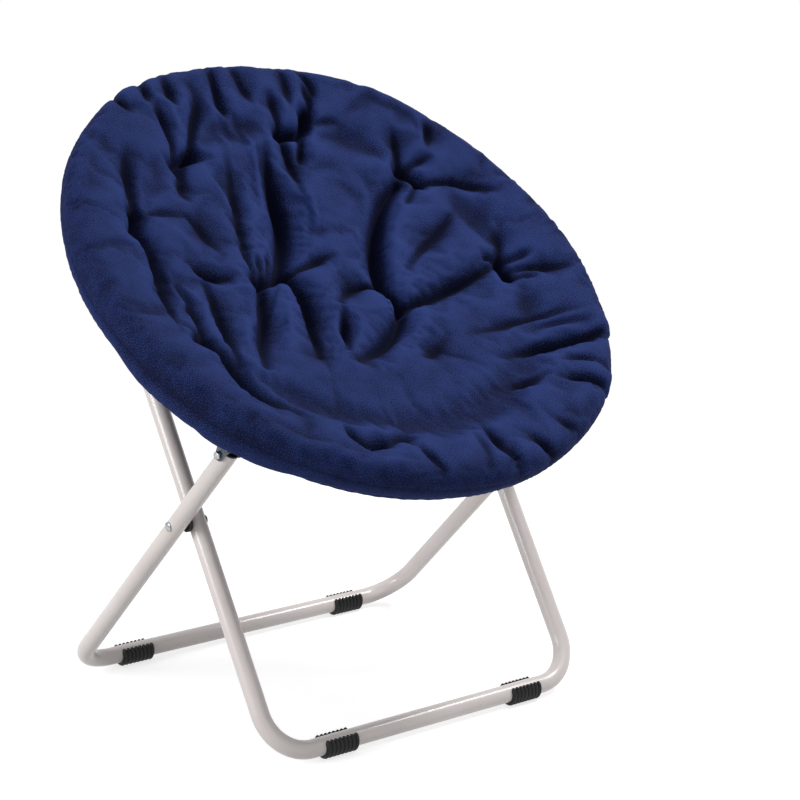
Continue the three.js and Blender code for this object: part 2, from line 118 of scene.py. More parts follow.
# %% Grids of points
def quads_between(rows, columns, wrap_rows, wrap_columns):
    """Corner numbers of the cells of a rows by columns grid.
    A wrapped side joins its last line to its first."""
    number = np.arange(rows * columns).reshape(rows, columns)
    if wrap_rows:
        number = np.vstack([number, number[:1]])
    if wrap_columns:
        number = np.hstack([number, number[:, :1]])
    corners = [number[:-1, :-1], number[:-1, 1:], number[1:, 1:], number[1:, :-1]]
    return np.stack(corners, axis=-1).reshape(-1, 4)


def fan(ring, middle):
    """Triangles from a ring of corner numbers to one corner in its middle."""
    return np.stack([ring, np.roll(ring, -1), np.full_like(ring, middle)], axis=-1)


# %% Meshes
def mesh_object(name, points, faces):
    """A smooth closed mesh at the origin, with its faces pointing outwards."""
    mesh = bpy.data.meshes.new(name)
    mesh.from_pydata(points.tolist(), [], faces)
    work = bmesh.new()
    work.from_mesh(mesh)
    bmesh.ops.recalc_face_normals(work, faces=work.faces)
    work.to_mesh(mesh)
    work.free()
    mesh.shade_smooth()
    piece = bpy.data.objects.new(name, mesh)
    bpy.context.scene.collection.objects.link(piece)
    return piece


def skin(name, grid, wrap_rows=False):
    """A closed piece from points[row, column].
    Columns wrap round; rows wrap too, or a fan of triangles closes both ends."""
    rows, columns = grid.shape[:2]
    points = grid.reshape(-1, 3)
    faces = quads_between(rows, columns, wrap_rows, True).tolist()
    if not wrap_rows:
        number = np.arange(rows * columns).reshape(rows, columns)
        faces += fan(number[0], rows * columns).tolist()
        faces += fan(number[-1][::-1], rows * columns + 1).tolist()
        points = np.vstack([points, grid[0].mean(axis=0), grid[-1].mean(axis=0)])
    return mesh_object(name, points, faces)


def turns(columns):
    """Angles once round, evenly spaced."""
    return np.arange(columns) * 2 * pi / columns


# %% Sweeps along a line
def carry(line, across, upward, radii, angles):
    """Point = line + radius * (cos(angle) * across + sin(angle) * upward), with one radius for each row."""
    spoke = np.cos(angles)[None, :, None] * across[:, None] + np.sin(angles)[None, :, None] * upward[:, None]
    return line[:, None] + radii * spoke


tube_edge = 0.25 * mm  # rounding of a cut edge


def pipe(name, line, across, upward, outer, bore, columns=48):
    """A tube with a wall: the outer skin runs along the line, the inner skin runs back, the ends are joined.
    The first and last rows are drawn in by tube_edge, which rounds the cut edges."""
    count = len(line)
    order = np.concatenate([np.arange(count), np.arange(count)[::-1]])
    radii = np.repeat([outer, bore], count)
    radii[[0, count - 1]] -= tube_edge
    radii[[count, -1]] += tube_edge
    grid = carry(line[order], across[order], upward[order], radii[:, None, None], turns(columns))
    return skin(name, grid, wrap_rows=True)


# %% [markdown]
# ## Finishes
# One shader, the Principled one, covers all of them. A finish is not one flat colour: powder paint has a
# fine orange peel, plated steel has brushed streaks, plastic is slightly mottled. Pictures of surfaces
# would also do, but they blur close up and show a seam where a tube closes. Patterns read Object
# coordinates, which are metres here, so a scale of 500 makes spots of about 2 mm.

# %% Shader helpers
def to_linear(red, green, blue):
    """Colour as a screen shows it (0 to 255) to light: the usual 2.4 power curve."""
    share = (np.array([red, green, blue]) / 255 + 0.055) / 1.055
    return (*(share**2.4).tolist(), 1.0)


def new_finish(name, **sockets):
    """A material with one Principled shader, and the plain values of its sockets."""
    finish = bpy.data.materials.new(name)
    finish.use_nodes = True
    shader = finish.node_tree.nodes["Principled BSDF"]
    for socket, value in sockets.items():
        shader.inputs[socket.replace("_", " ")].default_value = value
    return finish, shader


def add_node(owner, kind, inputs=(), **settings):
    """A node of a finish or a world with its settings; an input is a value or another node's output."""
    tree = owner.node_tree
    node = tree.nodes.new(kind)
    for key, value in settings.items():
        setattr(node, key, value)
    for socket, value in dict(inputs).items():
        if isinstance(value, bpy.types.NodeSocket):
            tree.links.new(value, node.inputs[socket])
        else:
            node.inputs[socket].default_value = value
    return node


# %% Patterns
def stretched_coords(finish, scale, source="Object"):
    """Coordinates of the piece, stretched by a scale for each axis."""
    coords = add_node(finish, "ShaderNodeTexCoord").outputs[source]
    return add_node(finish, "ShaderNodeMapping", {"Vector": coords, "Scale": scale}).outputs["Vector"]


def noise(finish, coords, scale, detail=3.0):
    """Cloudy values about 0.5; a spot is about 1 / scale metres wide."""
    inputs = {"Vector": coords, "Scale": scale, "Detail": detail}
    return add_node(finish, "ShaderNodeTexNoise", inputs).outputs["Fac"]


def blend_colours(finish, factor, dark, light):
    """Colour between two, from a value between 0.3 and 0.7, where noise mostly lies."""
    ramp = add_node(finish, "ShaderNodeValToRGB", {"Fac": factor})
    for element, place, colour in zip(ramp.color_ramp.elements, (0.3, 0.7), (dark, light)):
        element.position = place
        element.color = colour
    return ramp.outputs["Color"]


def between(finish, value, low, high):
    """low + value * (high - low)."""
    inputs = {"Value": value, "To Min": low, "To Max": high}
    return add_node(finish, "ShaderNodeMapRange", inputs).outputs["Result"]


# %% Links and relief
def link(owner, output, shader, socket):
    """Lets an output of one node drive a socket of another."""
    owner.node_tree.links.new(output, shader.inputs[socket])


def bump(finish, shader, height, distance, strength=1.0, after=None):
    """Tilts the surface as if it were raised by height times distance."""
    inputs = {"Height": height, "Distance": distance, "Strength": strength}
    if after is not None:
        inputs["Normal"] = after
    node = add_node(finish, "ShaderNodeBump", inputs)
    link(finish, node.outputs["Normal"], shader, "Normal")
    return node.outputs["Normal"]


# %% Paint, steel and plastic
def powder_paint():
    """Warm light grey: a slow change of tone, uneven gloss and a fine orange peel under a thin clear coat."""
    finish, shader = new_finish("painted_tube", Roughness=0.34, Coat_Weight=0.35, Coat_Roughness=0.12)
    coords = stretched_coords(finish, (1, 1, 1))
    tone = blend_colours(finish, noise(finish, coords, 9), to_linear(221, 212, 209), to_linear(231, 223, 220))
    link(finish, tone, shader, "Base Color")
    link(finish, between(finish, noise(finish, coords, 60), 0.28, 0.4), shader, "Roughness")
    bump(finish, shader, noise(finish, coords, 700, 2), 0.00006)
    return finish


def steel(name, dark, light, roughness):
    """Plated or pressed steel: streaks along X over a mottle, which also change how rough it is."""
    finish, shader = new_finish(name, Metallic=1.0)
    streaks = noise(finish, stretched_coords(finish, (60, 900, 900)), 1, 4)
    mottle = noise(finish, stretched_coords(finish, (1, 1, 1)), 180, 4)
    both = add_node(finish, "ShaderNodeMath", {0: streaks, 1: mottle, 2: mottle}, operation="MULTIPLY_ADD")
    tone = between(finish, both.outputs[0], 0.0, 0.8)
    link(finish, blend_colours(finish, tone, dark, light), shader, "Base Color")
    link(finish, between(finish, mottle, roughness - 0.1, roughness + 0.15), shader, "Roughness")
    bump(finish, shader, streaks, 0.00003)
    return finish


def moulded_plastic():
    """Nearly black, with a faint mottle and a gloss that changes from spot to spot."""
    finish, shader = new_finish("black_plastic", Specular_IOR_Level=0.3)
    coords = stretched_coords(finish, (1, 1, 1))
    tone = blend_colours(finish, noise(finish, coords, 120), to_linear(6, 6, 8), to_linear(16, 16, 19))
    link(finish, tone, shader, "Base Color")
    link(finish, between(finish, noise(finish, coords, 300), 0.38, 0.62), shader, "Roughness")
    bump(finish, shader, noise(finish, coords, 1500, 2), 0.00004)
    return finish


# %% Four finishes
paint = powder_paint()
zinc = steel("zinc_steel", to_linear(118, 120, 124), to_linear(182, 184, 188), 0.26)
dark_steel = steel("dark_steel", to_linear(44, 49, 56), to_linear(92, 99, 108), 0.28)
plastic = moulded_plastic()
print("finishes:", [finish.name for finish in (paint, zinc, dark_steel, plastic)])


# %% Helpers for every piece
def dress(piece, body, slot, finish, *nodes):
    """Gives a piece its finish and the body that it moves with, and hides the frame's nodes that it stands
    for.
    """
    piece.data.materials.append(finish)
    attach(piece, body)
    if nodes:
        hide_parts(*nodes)


sides = {"left": 1, "right": -1}


def middle_of(node):
    """Middle of a frame piece: half the sum of its box's lowest and highest corner."""
    low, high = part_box(node)
    return (np.array(low) + np.array(high)) / 2


# %% [markdown]
# ## Leg tubes
# Each leg is one tube bent twice: down one side, along the floor and up the other. A curve with a round
# bevel gives such a tube in a moment, but its ends would be open. Here the centre line is worked out in the
# leg's own plane from straight stretches and two quarter turns, and a round section is carried along it.

# %% Leg tubes
leg_radius = 12.5 * mm
leg_bore = leg_radius - 1.2 * mm
leg_bend = 60 * mm
leg_reach = 7 * mm  # tube left above the bracket bolt
bar_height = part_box("outer_leg_tube")[0][2] + leg_radius


def u_line(half_width, top):
    """Centre line of a U in its plane, x across and v up from the floor bar, and how far the line has turned.
    Half of it is a straight side and bend - bend * (cos, sin) of a quarter turn; the rest mirrors that."""
    quarter = np.linspace(0, pi / 2, 25)
    straight = np.array([top, top - 2 * tube_edge, top - 4 * tube_edge, (top + leg_bend) / 2])
    corner = half_width - leg_bend
    x = np.concatenate([np.full(len(straight), -half_width), -corner - leg_bend * np.cos(quarter), [0.0]])
    v = np.concatenate([straight, leg_bend - leg_bend * np.sin(quarter), [0.0]])
    turn = np.concatenate([np.zeros(len(straight)), quarter, [pi / 2]])
    side_x = np.concatenate([x, -x[-2::-1]])
    side_v = np.concatenate([v, v[-2::-1]])
    side_turn = np.concatenate([turn, pi - turn[-2::-1]])
    return side_x, side_v, side_turn


# %% Both legs
legs = {
    "outer_leg": ("outer_foot_left", "front_pivot", "front_bracket_left"),
    "inner_leg": ("inner_foot_left", "rear_pivot", "rear_bracket_left"),
}


def leg_plane(leg):
    """Middle of the floor bar, direction up the leg, half the leg's width and the length of its sides.
    The sides run from the floor bar to the bracket bolt and a little past it."""
    foot, joint, bracket = legs[leg]
    bar = np.array([0.0, middle_of(foot)[1], bar_height])
    upward = pivot[joint] - bar
    length = np.linalg.norm(upward)
    return bar, upward / length, middle_of(bracket)[0], length + leg_reach


def leg_tube(leg):
    """Line = bar + x across + v up the leg; the section's first direction turns with the bends."""
    bar, up_leg, half_width, top = leg_plane(leg)
    x, v, turn = u_line(half_width, top)
    line = bar + np.outer(x, [1, 0, 0]) + np.outer(v, up_leg)
    across = np.outer(np.cos(turn), [1, 0, 0]) + np.outer(np.sin(turn), up_leg)
    off_plane = np.tile(np.cross([1, 0, 0], up_leg), (len(x), 1))
    tube = pipe(f"{leg}_tube_painted", line, across, off_plane, leg_radius, leg_bore)
    dress(tube, leg, "painted_tube", paint, f"{leg}_tube")


for leg in legs:
    leg_tube(leg)
print("floor bars at", round(bar_height / mm, 1), "mm above the floor")

# %% [markdown]
# ## Turned pieces
# Plugs, rivets, spacers, pins and bolts are round about one axis. The Spin tool or a Screw modifier would
# turn a profile round too. As an array it is one line of code, and the radius may also change with the
# angle, which makes the six flats of a bolt head out of the same function.

# %% Turning a profile
def turned(name, radii, heights, foot, axis, columns=48, ring=False):
    """Point = foot + height * axis + radius * spoke.
    radii and heights have one row for each profile point, and a row may change with the angle."""
    axis = np.array(axis, float)
    aside = np.array([0, axis[2], -axis[1]]) if abs(axis[0]) < 0.5 else np.array([0, 1, 0.0])
    aside /= np.linalg.norm(aside)
    third = np.cross(axis, aside)
    angles = turns(columns)
    spokes = np.cos(angles)[:, None] * aside + np.sin(angles)[:, None] * third
    radii = np.stack([np.broadcast_to(row, columns) for row in radii])
    heights = np.stack([np.broadcast_to(row, columns) for row in heights])
    grid = foot + heights[..., None] * axis + radii[..., None] * spokes
    return skin(name, grid, wrap_rows=ring)


def six_sided(flats, columns):
    """Distance from the axis to a hexagon of that width across flats, at each angle round it."""
    angles = turns(columns)
    return flats / 2 / np.cos((angles + pi / 6) % (pi / 3) - pi / 6)


# %% Plugs in the legs' open ends
plug_cap = 2 * mm
plug_stem = 3.5 * mm
plug_edge = 1.2 * mm
running_gap = 0.3 * mm


def leg_plug(leg, side):
    """A cap on a short stem in the tube; its rim is rounded by edge * (cos, sin) of a quarter turn."""
    bar, up_leg, half_width, top = leg_plane(leg)
    base = bar + np.array([sides[side] * half_width, 0, 0]) + up_leg * top
    stem = leg_bore - 2 * running_gap
    lip = running_gap
    dome = np.linspace(0, pi / 2, 8)[1:]
    dome_radii = leg_radius - plug_edge + plug_edge * np.cos(dome)
    dome_heights = plug_cap + lip - plug_edge + plug_edge * np.sin(dome)
    radii = [stem * 0.9, stem, stem, leg_radius - lip, leg_radius, *dome_radii]
    heights = [-plug_stem, -plug_stem * 0.9, lip, lip, 2 * lip, *dome_heights]
    plug = turned(f"{leg}_plug_{side}_moulded", radii, heights, base, up_leg)
    dress(plug, leg, "black_plastic", plastic, f"{leg}_plug_{side}")


for side in sides:
    for leg in legs:
        leg_plug(leg, side)
print("four plugs, each with a cap of", round(plug_cap / mm, 1), "mm")

# %% [markdown]
# ## Feet
# A foot is a black clip that snaps over the floor bar, open on top. Ribs run round it like the folds of a
# bellows, and its two lips end in rounded teeth, one for each rib. An Array modifier could repeat one rib.
# Here the rib is a wave in the radius, and the same wave moves the lip, so that ribs and teeth always
# match. Underneath, the clip is cut flat at floor level.

# %% Ribbed feet
foot_length = 52 * mm
foot_ribs = 8
foot_crest = 17.6 * mm
foot_groove = 14.9 * mm
foot_bore = 12.9 * mm
foot_lip = radians(122)
foot_tooth = radians(16)
foot_lip_thin = 0.8 * mm


def foot_grid(centre):
    """Rows along X, columns from lip to lip outside and back inside.
    Radius = groove + (crest - groove) * wave, which is 1 on a rib and 0 in a groove; z ends at the floor."""
    share = np.linspace(0, 1, foot_ribs * 12 + 1)[:, None]
    wave = np.abs(np.sin(pi * foot_ribs * share)) ** 0.8
    lip = foot_lip + foot_tooth * wave
    across = np.linspace(-1, 1, 61)[None, :]
    thinning = (1 - np.abs(across) ** 14) ** 0.5
    outer = foot_groove + (foot_crest - foot_groove) * wave * thinning - foot_lip_thin * (1 - thinning)
    back = np.linspace(0.985, -0.985, 31)[None, :]
    angle = np.hstack([lip * across, lip * back])
    radius = np.hstack([outer, np.full((len(share), back.size), foot_bore)])
    x = np.broadcast_to((share - 0.5) * foot_length, angle.shape)
    y = radius * np.sin(angle)
    z = np.maximum(-radius * np.cos(angle), -bar_height)
    return centre + np.stack([x, y, z], axis=-1)


def ribbed_foot(name, body, side):
    """One foot, with its clip centred on the floor bar."""
    centre = middle_of(f"{name}_{side}")
    centre[2] = bar_height
    foot = skin(f"{name}_{side}_ribbed", foot_grid(centre))
    dress(foot, body, "black_plastic", plastic, f"{name}_{side}")


for side in sides:
    ribbed_foot("outer_foot", "outer_leg", side)
    ribbed_foot("inner_foot", "inner_leg", side)
print("four feet with", foot_ribs, "ribs each")

# %% [markdown]
# ## Where the legs cross
# A rivet with a low domed head goes through each crossing, a black spacer keeps the paint of the two tubes
# apart, and the rivet's end is pressed over on the inner tube. Bevelled cylinders would do for all three.
# They are turned about the X axis instead, because a profile has its dome, its rim and the dimple of the
# pressed end in one go.

# %% Cross rivets and spacers
cross_point = middle_of("cross_spacer_left")
rivet_shank = 4 * mm
rivet_head = 6.4 * mm
rivet_dome = 2.1 * mm
rivet_tail = 1.3 * mm
pressed_dimple = 0.6 * mm
spacer_radius = 12 * mm
spacer_edge = 0.8 * mm


def rivet_end(node, piece_name, body, side, inner_x, outer_x, dome, hollow):
    """Shank from inner_x to the tube's face, then a dome with a small flat rim.
    Dome height = dome * (0.25 + 0.75 sin), less a narrow dimple in the middle where it was pressed."""
    reach = abs(outer_x - inner_x)
    arc = np.linspace(0, pi / 2, 12)
    dome_radii = rivet_head * np.cos(arc)
    dome_heights = dome * (0.25 + 0.75 * np.sin(arc)) - hollow * np.sin(arc) ** 8
    radii = [rivet_shank * 0.9, rivet_shank, rivet_shank, rivet_head * 0.97, *dome_radii[:-1]]
    heights = [0, 0.2 * mm, reach, reach, *(reach + dome_heights[:-1])]
    base = cross_point * [0, 1, 1] + [sides[side] * inner_x, 0, 0]
    axis = [sides[side] * np.sign(outer_x - inner_x), 0, 0]
    dress(turned(piece_name, radii, heights, base, axis), body, "zinc_steel", zinc, node)


def cross_spacer(side):
    """A washer with rounded edges: a closed loop of profile points, turned."""
    low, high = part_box(f"cross_spacer_{side}")
    near, far = sorted((abs(low[0]), abs(high[0])))
    bore = rivet_shank + running_gap
    rim = spacer_radius - spacer_edge
    thickness = far - near
    radii = [bore, rim, spacer_radius, spacer_radius, rim, bore]
    heights = [0, 0, spacer_edge, thickness - spacer_edge, thickness, thickness]
    base = cross_point * [0, 1, 1] + [sides[side] * near, 0, 0]
    spacer = turned(f"cross_spacer_{side}_moulded", radii, heights, base, [sides[side], 0, 0], ring=True)
    dress(spacer, "outer_leg", "black_plastic", plastic, f"cross_spacer_{side}")


# %% Both crossings
outer_leg_x = middle_of("front_bracket_left")[0]
inner_leg_x = middle_of("rear_bracket_left")[0]
for side in sides:
    outer_face = outer_leg_x + leg_radius + running_gap
    inner_face = inner_leg_x - leg_radius - running_gap
    shank_start = inner_leg_x + leg_radius + running_gap
    node = f"cross_rivet_{side}"
    rivet_end(node, f"{node}_domed", "outer_leg", side, shank_start, outer_face, rivet_dome, 0)
    tail = f"cross_rivet_tail_{side}"
    tail_start = shank_start - running_gap
    rivet_end(tail, f"{tail}_pressed", "inner_leg", side, tail_start, inner_face, rivet_tail, pressed_dimple)
    cross_spacer(side)
print("cross pivot at height", round(cross_point[2] / mm, 1), "mm")

# %% [markdown]
# ## The ring's own frame
# The seat ring is tilted, front low and rear high. Everything on it is easiest to describe in its own axes:
# x across, s along the slope towards the rear, and n square to the ring. An empty with that tilt could
# carry them all, but each piece has to stay unturned at the origin. One function turns points into the
# chair's axes instead, and tubes, brackets, sling and cushion all share it.

# %% Ring axes
ring_radius = 372 * mm
ring_tilt = radians(37.1)
ring_tube_radius = 11 * mm
ring_tube_bore = ring_tube_radius - 1.2 * mm
ring_centre = np.array([0, 17.493 * mm, 581 * mm])
slope = np.array([0, cos(ring_tilt), sin(ring_tilt)])
square = np.array([0, -sin(ring_tilt), cos(ring_tilt)])


def on_ring(x, s, n):
    """Chair point = ring centre + x across + s up the slope + n square to the ring."""
    x, s, n = np.broadcast_arrays(np.asarray(x, float), s, n)
    return ring_centre + x[..., None] * [1, 0, 0] + s[..., None] * slope + n[..., None] * square


def ring_coords(points):
    """The same, backwards: x, s and n of chair points."""
    offset = points - ring_centre
    return offset[..., 0], offset @ slope, offset @ square


hinge_pin = middle_of("ring_hinge_pin_left")
_, hinge_s, hinge_rise = (float(v) for v in ring_coords(hinge_pin))
hinge_x = sqrt(ring_radius**2 - hinge_s**2)
hinge_angle = atan2(hinge_s, hinge_x)
hinge_degrees = round(hinge_angle * 180 / pi, 1)
print("fold line at s =", round(hinge_s / mm, 1), "mm, ring angle", hinge_degrees, "degrees")

# %% Ring tubes
hinge_half_gap = 20 * mm
ring_arcs = {"front": (-pi - hinge_angle, hinge_angle), "rear": (hinge_angle, pi - hinge_angle)}


def ring_stations(arc, short_by, count):
    """Points and directions along an arc of the ring that stops short of the fold line at both ends."""
    least = 2 * tube_edge / ring_radius
    start, stop = arc[0] + short_by / ring_radius, arc[1] - short_by / ring_radius
    ends = np.array([start, start + least, start + 2 * least])
    angles = np.concatenate([ends, np.linspace(start, stop, count)[1:-1], start + stop - ends[::-1]])
    across = np.cos(angles)[:, None] * [1, 0, 0] + np.sin(angles)[:, None] * slope
    return angles, ring_centre + ring_radius * across, across


for half, body in (("front", "ring_front"), ("rear", "ring_rear")):
    angles, line, across = ring_stations(ring_arcs[half], hinge_half_gap, 90)
    upright = np.tile(square, (len(line), 1))
    tube = pipe(f"ring_{half}_tube_painted", line, across, upright, ring_tube_radius, ring_tube_bore, 32)
    dress(tube, body, "painted_tube", paint, f"ring_{half}_tube")
    print(half, "arc:", round(abs(angles[-1] - angles[0]) * ring_radius / mm), "mm of tube")

# %% [markdown]
# ## Brackets, bolts and nuts
# A bracket is a strip of pressed steel bent to a channel. Its web lies under the ring tube and its two ears
# straddle the end of a leg. Solidify could thicken a bent sheet, but the ears' round tips would end in long
# thin faces. Here the strip is drawn flat first: half its width at each place along it, full on the web and
# rounding off at the ears' tips. Then the strip is bent over two small radii.

# %% Brackets
bracket_drop = 30.4 * mm
bracket_plate = 2.5 * mm
ear_tip = 8 * mm
web_half_width = 12 * mm
ear_inside = leg_radius + running_gap
bracket_bend = 3 * mm
plate_edge = 0.5 * mm


def bent_strip():
    """Middle line of the strip as x, n and the lean of its normal, with the strip's half width at each place.
    It runs from one ear's tip straight up and round a bend to the web's middle; the other half mirrors it."""
    mid = ear_inside + bracket_plate / 2
    web = bracket_drop - ring_tube_radius - running_gap - bracket_plate / 2
    tip = np.sin(np.linspace(-pi / 2, 0, 16)) * ear_tip
    half_tip = np.sqrt(np.maximum(ear_tip**2 - tip**2, (0.6 * mm) ** 2))
    rise = np.linspace(0, web - bracket_bend, 8)[1:]
    half_rise = ear_tip + (web_half_width - ear_tip) * rise / web
    bend = np.linspace(0, pi / 2, 9)[1:]
    ear_rows = len(tip) + len(rise)
    x = np.concatenate([np.full(ear_rows, mid), mid - bracket_bend + bracket_bend * np.cos(bend), [0.0]])
    n = np.concatenate([tip, rise, web - bracket_bend + bracket_bend * np.sin(bend), [web]])
    lean = np.concatenate([np.zeros(ear_rows), bend, [pi / 2]])
    half = np.concatenate([half_tip, half_rise, np.full(len(bend) + 1, web_half_width)])
    return (
        np.concatenate([x, -x[-2::-1]]),
        np.concatenate([n, n[-2::-1]]),
        np.concatenate([lean, pi - lean[-2::-1]]),
        np.concatenate([half, half[-2::-1]]),
    )


def bracket_grid(bolt_x, bolt_s):
    """Each row is a flat oblong with its corners taken off, square to the strip's middle line."""
    x, n, lean, half = (value[:, None] for value in bent_strip())
    thick = bracket_plate / 2
    share = np.array([1, 1, 0, -1, -1, -1, -1, 0, 1, 1.0])[None, :]
    taken = np.array([0, 1, 1, 1, 0, 0, 1, 1, 1, 0.0])[None, :]
    out = np.array([1, 1, 1, 1, 1, -1, -1, -1, -1, -1.0])[None, :]
    along = share * (half - plate_edge * taken * np.abs(share))
    depth = out * (thick - plate_edge * (1 - taken))
    return on_ring(bolt_x + x + depth * np.cos(lean), bolt_s + along, n + depth * np.sin(lean) - bracket_drop)


# %% Four brackets
def bolt_place(joint):
    """How far up the ring's slope the bracket bolts of a joint lie."""
    return ring_coords(pivot[joint])[1]


fixings = {
    "front": ("front_pivot", "ring_front", outer_leg_x),
    "rear": ("rear_pivot", "ring_rear", inner_leg_x),
}
for end, (joint, body, leg_x) in fixings.items():
    for side, sign in sides.items():
        strip = skin(f"{end}_bracket_{side}_pressed", bracket_grid(sign * leg_x, bolt_place(joint)))
        dress(strip, body, "dark_steel", dark_steel, f"{end}_bracket_{side}")
print("four brackets, bent from a strip", round(2 * web_half_width / mm), "mm wide")

# %% Bolts
bolt_radius = 3 * mm
bolt_flats = 10 * mm
bolt_head = 4 * mm
nut_thickness = 5 * mm
thread_stand_out = 2 * mm
thread_pitch = 1 * mm
thread_depth = 0.25 * mm
thread_length = 4 * mm
bolt_chamfer = 0.3 * mm
nut_chamfer = 0.5 * mm
ear_outside = ear_inside + bracket_plate
hex_columns = 72


def bolt(name, body, side, leg_x, joint):
    """Thread, shank, then the six-sided head, whose corners are taken off by a cone of 30 degrees.
    Thread radius = bolt radius - depth * (1 - cos(turn)) / 2, one turn for each pitch."""
    outline = six_sided(bolt_flats, hex_columns)
    seat = ear_outside + running_gap
    tail = -seat - nut_thickness - thread_stand_out
    thread = np.arange(tail + 0.5 * mm, tail + thread_length, thread_pitch / 4)
    crest = bolt_radius - thread_depth * (1 - np.cos(2 * pi * (thread - tail) / thread_pitch)) / 2
    corner = (outline - bolt_flats / 2) / sqrt(3)
    top = seat + bolt_head
    radii = [bolt_radius * 0.75, *crest, bolt_radius, bolt_radius, outline - 0.2 * mm, outline, outline]
    radii += [bolt_flats / 2 * 0.96, bolt_flats / 2 * 0.6, bolt_flats / 2 * 0.5]
    heights = [tail, *thread, tail + 4.2 * mm, seat, seat, seat + bolt_chamfer, top - 0.5 * mm - corner]
    heights += [top, top, top - bolt_chamfer]
    base = pivot[joint] + [sides[side] * leg_x, 0, 0]
    piece = turned(f"{name}_{side}_hexagon", radii, heights, base, [sides[side], 0, 0], hex_columns)
    dress(piece, body, "zinc_steel", zinc, f"{name}_{side}")


# %% Nuts
def nut(name, body, side, leg_x, joint):
    """A ring of profile points: bore, chamfered face, six sides, chamfered face."""
    outline = six_sided(bolt_flats, hex_columns)
    corner = (outline - bolt_flats / 2) / sqrt(3)
    seat = ear_outside + running_gap
    bore = bolt_radius + running_gap
    face = bolt_flats / 2 * 0.95
    mouth = bore + nut_chamfer
    top = seat + nut_thickness
    radii = [bore, mouth, face, outline, outline, face, mouth, bore]
    heights = [seat + nut_chamfer, seat, seat, seat + bolt_chamfer + corner]
    heights += [top - bolt_chamfer - corner, top, top, top - nut_chamfer]
    base = pivot[joint] + [sides[side] * leg_x, 0, 0]
    axis = [-sides[side], 0, 0]
    piece = turned(f"{name}_{side}_hexagon", radii, heights, base, axis, hex_columns, ring=True)
    dress(piece, body, "zinc_steel", zinc, f"{name}_{side}")


# %% All bolts and nuts
for end, (joint, body, leg_x) in fixings.items():
    for side in sides:
        bolt(f"{end}_bolt", body, side, leg_x, joint)
        nut(f"{end}_nut", body, side, leg_x, joint)
print("bolts at", [np.round(pivot[joint] / mm, 1).tolist() for joint in ("front_pivot", "rear_pivot")])

# %% [markdown]
# ## Ring hinge
# The two halves of the ring turn about a pin on each side. Each half ends in a plug with a flat lug, and
# both lugs have an eye for the pin. A boolean could drill the eye, but it leaves ragged faces round it.
# Here a lug is a plate with a hole: its outline is a distance from the pin for every angle, and the ring of
# profile points runs from the hole to the outline, over the edge and back.

# %% Outline of a hinge lug
lug_thickness = 6 * mm
eye_radius = 7.2 * mm
arm_half_height = 8 * mm
pin_radius = 3 * mm
pin_head = 6 * mm
pin_head_thickness = 2 * mm
plug_depth = 18 * mm
plug_stand_out = 5 * mm
lug_edge = 0.6 * mm
stem_rows = 12


def lug_outline(towards, columns):
    """Distance from the pin at each angle.
    It is the eye's radius, and on the arm's side the nearest of the arm's end, top and foot lines."""
    angles = turns(columns)
    arm = hinge_half_gap * cos(hinge_angle)
    direction = np.cos(angles) * towards
    height = np.sin(angles)
    to_end = arm / np.maximum(direction, 1e-6)
    to_top = (arm_half_height - hinge_rise) / np.maximum(height, 1e-6)
    to_foot = (arm_half_height + hinge_rise) / np.maximum(-height, 1e-6)
    lower = np.minimum(to_foot, to_end)
    upper = np.minimum(np.maximum(to_top, eye_radius), to_end)
    reach = np.where(height > 0, upper, lower)
    return np.where(direction > 0, np.maximum(reach, eye_radius), eye_radius)


# %% Hinge halves
def hinge_lug(half, towards, body, side):
    """The lug: s and n = pin + radius * (cos, sin), x across. Its stem is a short rod in the tube's mouth."""
    columns = 96
    angles = turns(columns)
    outline = lug_outline(towards, columns)
    bore = pin_radius + running_gap
    mouth, rim = bore + lug_edge, outline - lug_edge
    near, far = running_gap / 2, running_gap / 2 + lug_thickness
    radii = [bore, mouth, rim, outline, outline, rim, mouth, bore]
    across = [near + lug_edge, near, near, near + lug_edge, far - lug_edge, far, far, far - lug_edge]
    rows = []
    for radius, offset in zip(radii, across):
        s = hinge_s + radius * np.cos(angles)
        n = hinge_rise + radius * np.sin(angles)
        rows.append(on_ring(sides[side] * (hinge_x + towards * offset), s, n))
    lug = skin(f"ring_hinge_{half}_{side}_lug", np.stack(rows), wrap_rows=True)
    dress(lug, body, "dark_steel", dark_steel, f"ring_hinge_{half}_{side}")
    start = hinge_angle + towards * (hinge_half_gap - plug_stand_out) / ring_radius
    stop = hinge_angle + towards * (hinge_half_gap + plug_depth) / ring_radius
    span = np.linspace(start, stop, stem_rows)
    if side == "right":
        span = pi - span
    spoke = np.cos(span)[:, None] * [1, 0, 0] + np.sin(span)[:, None] * slope
    radii = np.full((stem_rows, 1, 1), ring_tube_bore - running_gap)
    radii[[0, -1]] -= lug_edge
    stem_line = ring_centre + ring_radius * spoke
    stem_grid = carry(stem_line, spoke, np.tile(square, (stem_rows, 1)), radii, turns(32))
    stem = skin(f"ring_hinge_{half}_{side}_stem", stem_grid)
    dress(stem, body, "dark_steel", dark_steel)


# %% Hinge pins
def hinge_pin_piece(side):
    """Shank with a low domed head at both ends."""
    reach = lug_thickness + 1.5 * running_gap
    arc = np.linspace(0, pi / 2, 8)[:-1]
    head_radii = pin_head * np.cos(arc)
    head_heights = pin_head_thickness * (0.3 + 0.7 * np.sin(arc))
    radii = [*head_radii[::-1], pin_head * 0.97, pin_radius, pin_radius, pin_head * 0.97, *head_radii]
    heights = [*(-reach - head_heights[::-1]), -reach, -reach, reach, reach, *(reach + head_heights)]
    base = on_ring(sides[side] * hinge_x, hinge_s, hinge_rise)
    pin = turned(f"ring_hinge_pin_{side}_domed", radii, heights, base, [sides[side], 0, 0])
    dress(pin, "ring_rear", "zinc_steel", zinc, f"ring_hinge_pin_{side}")


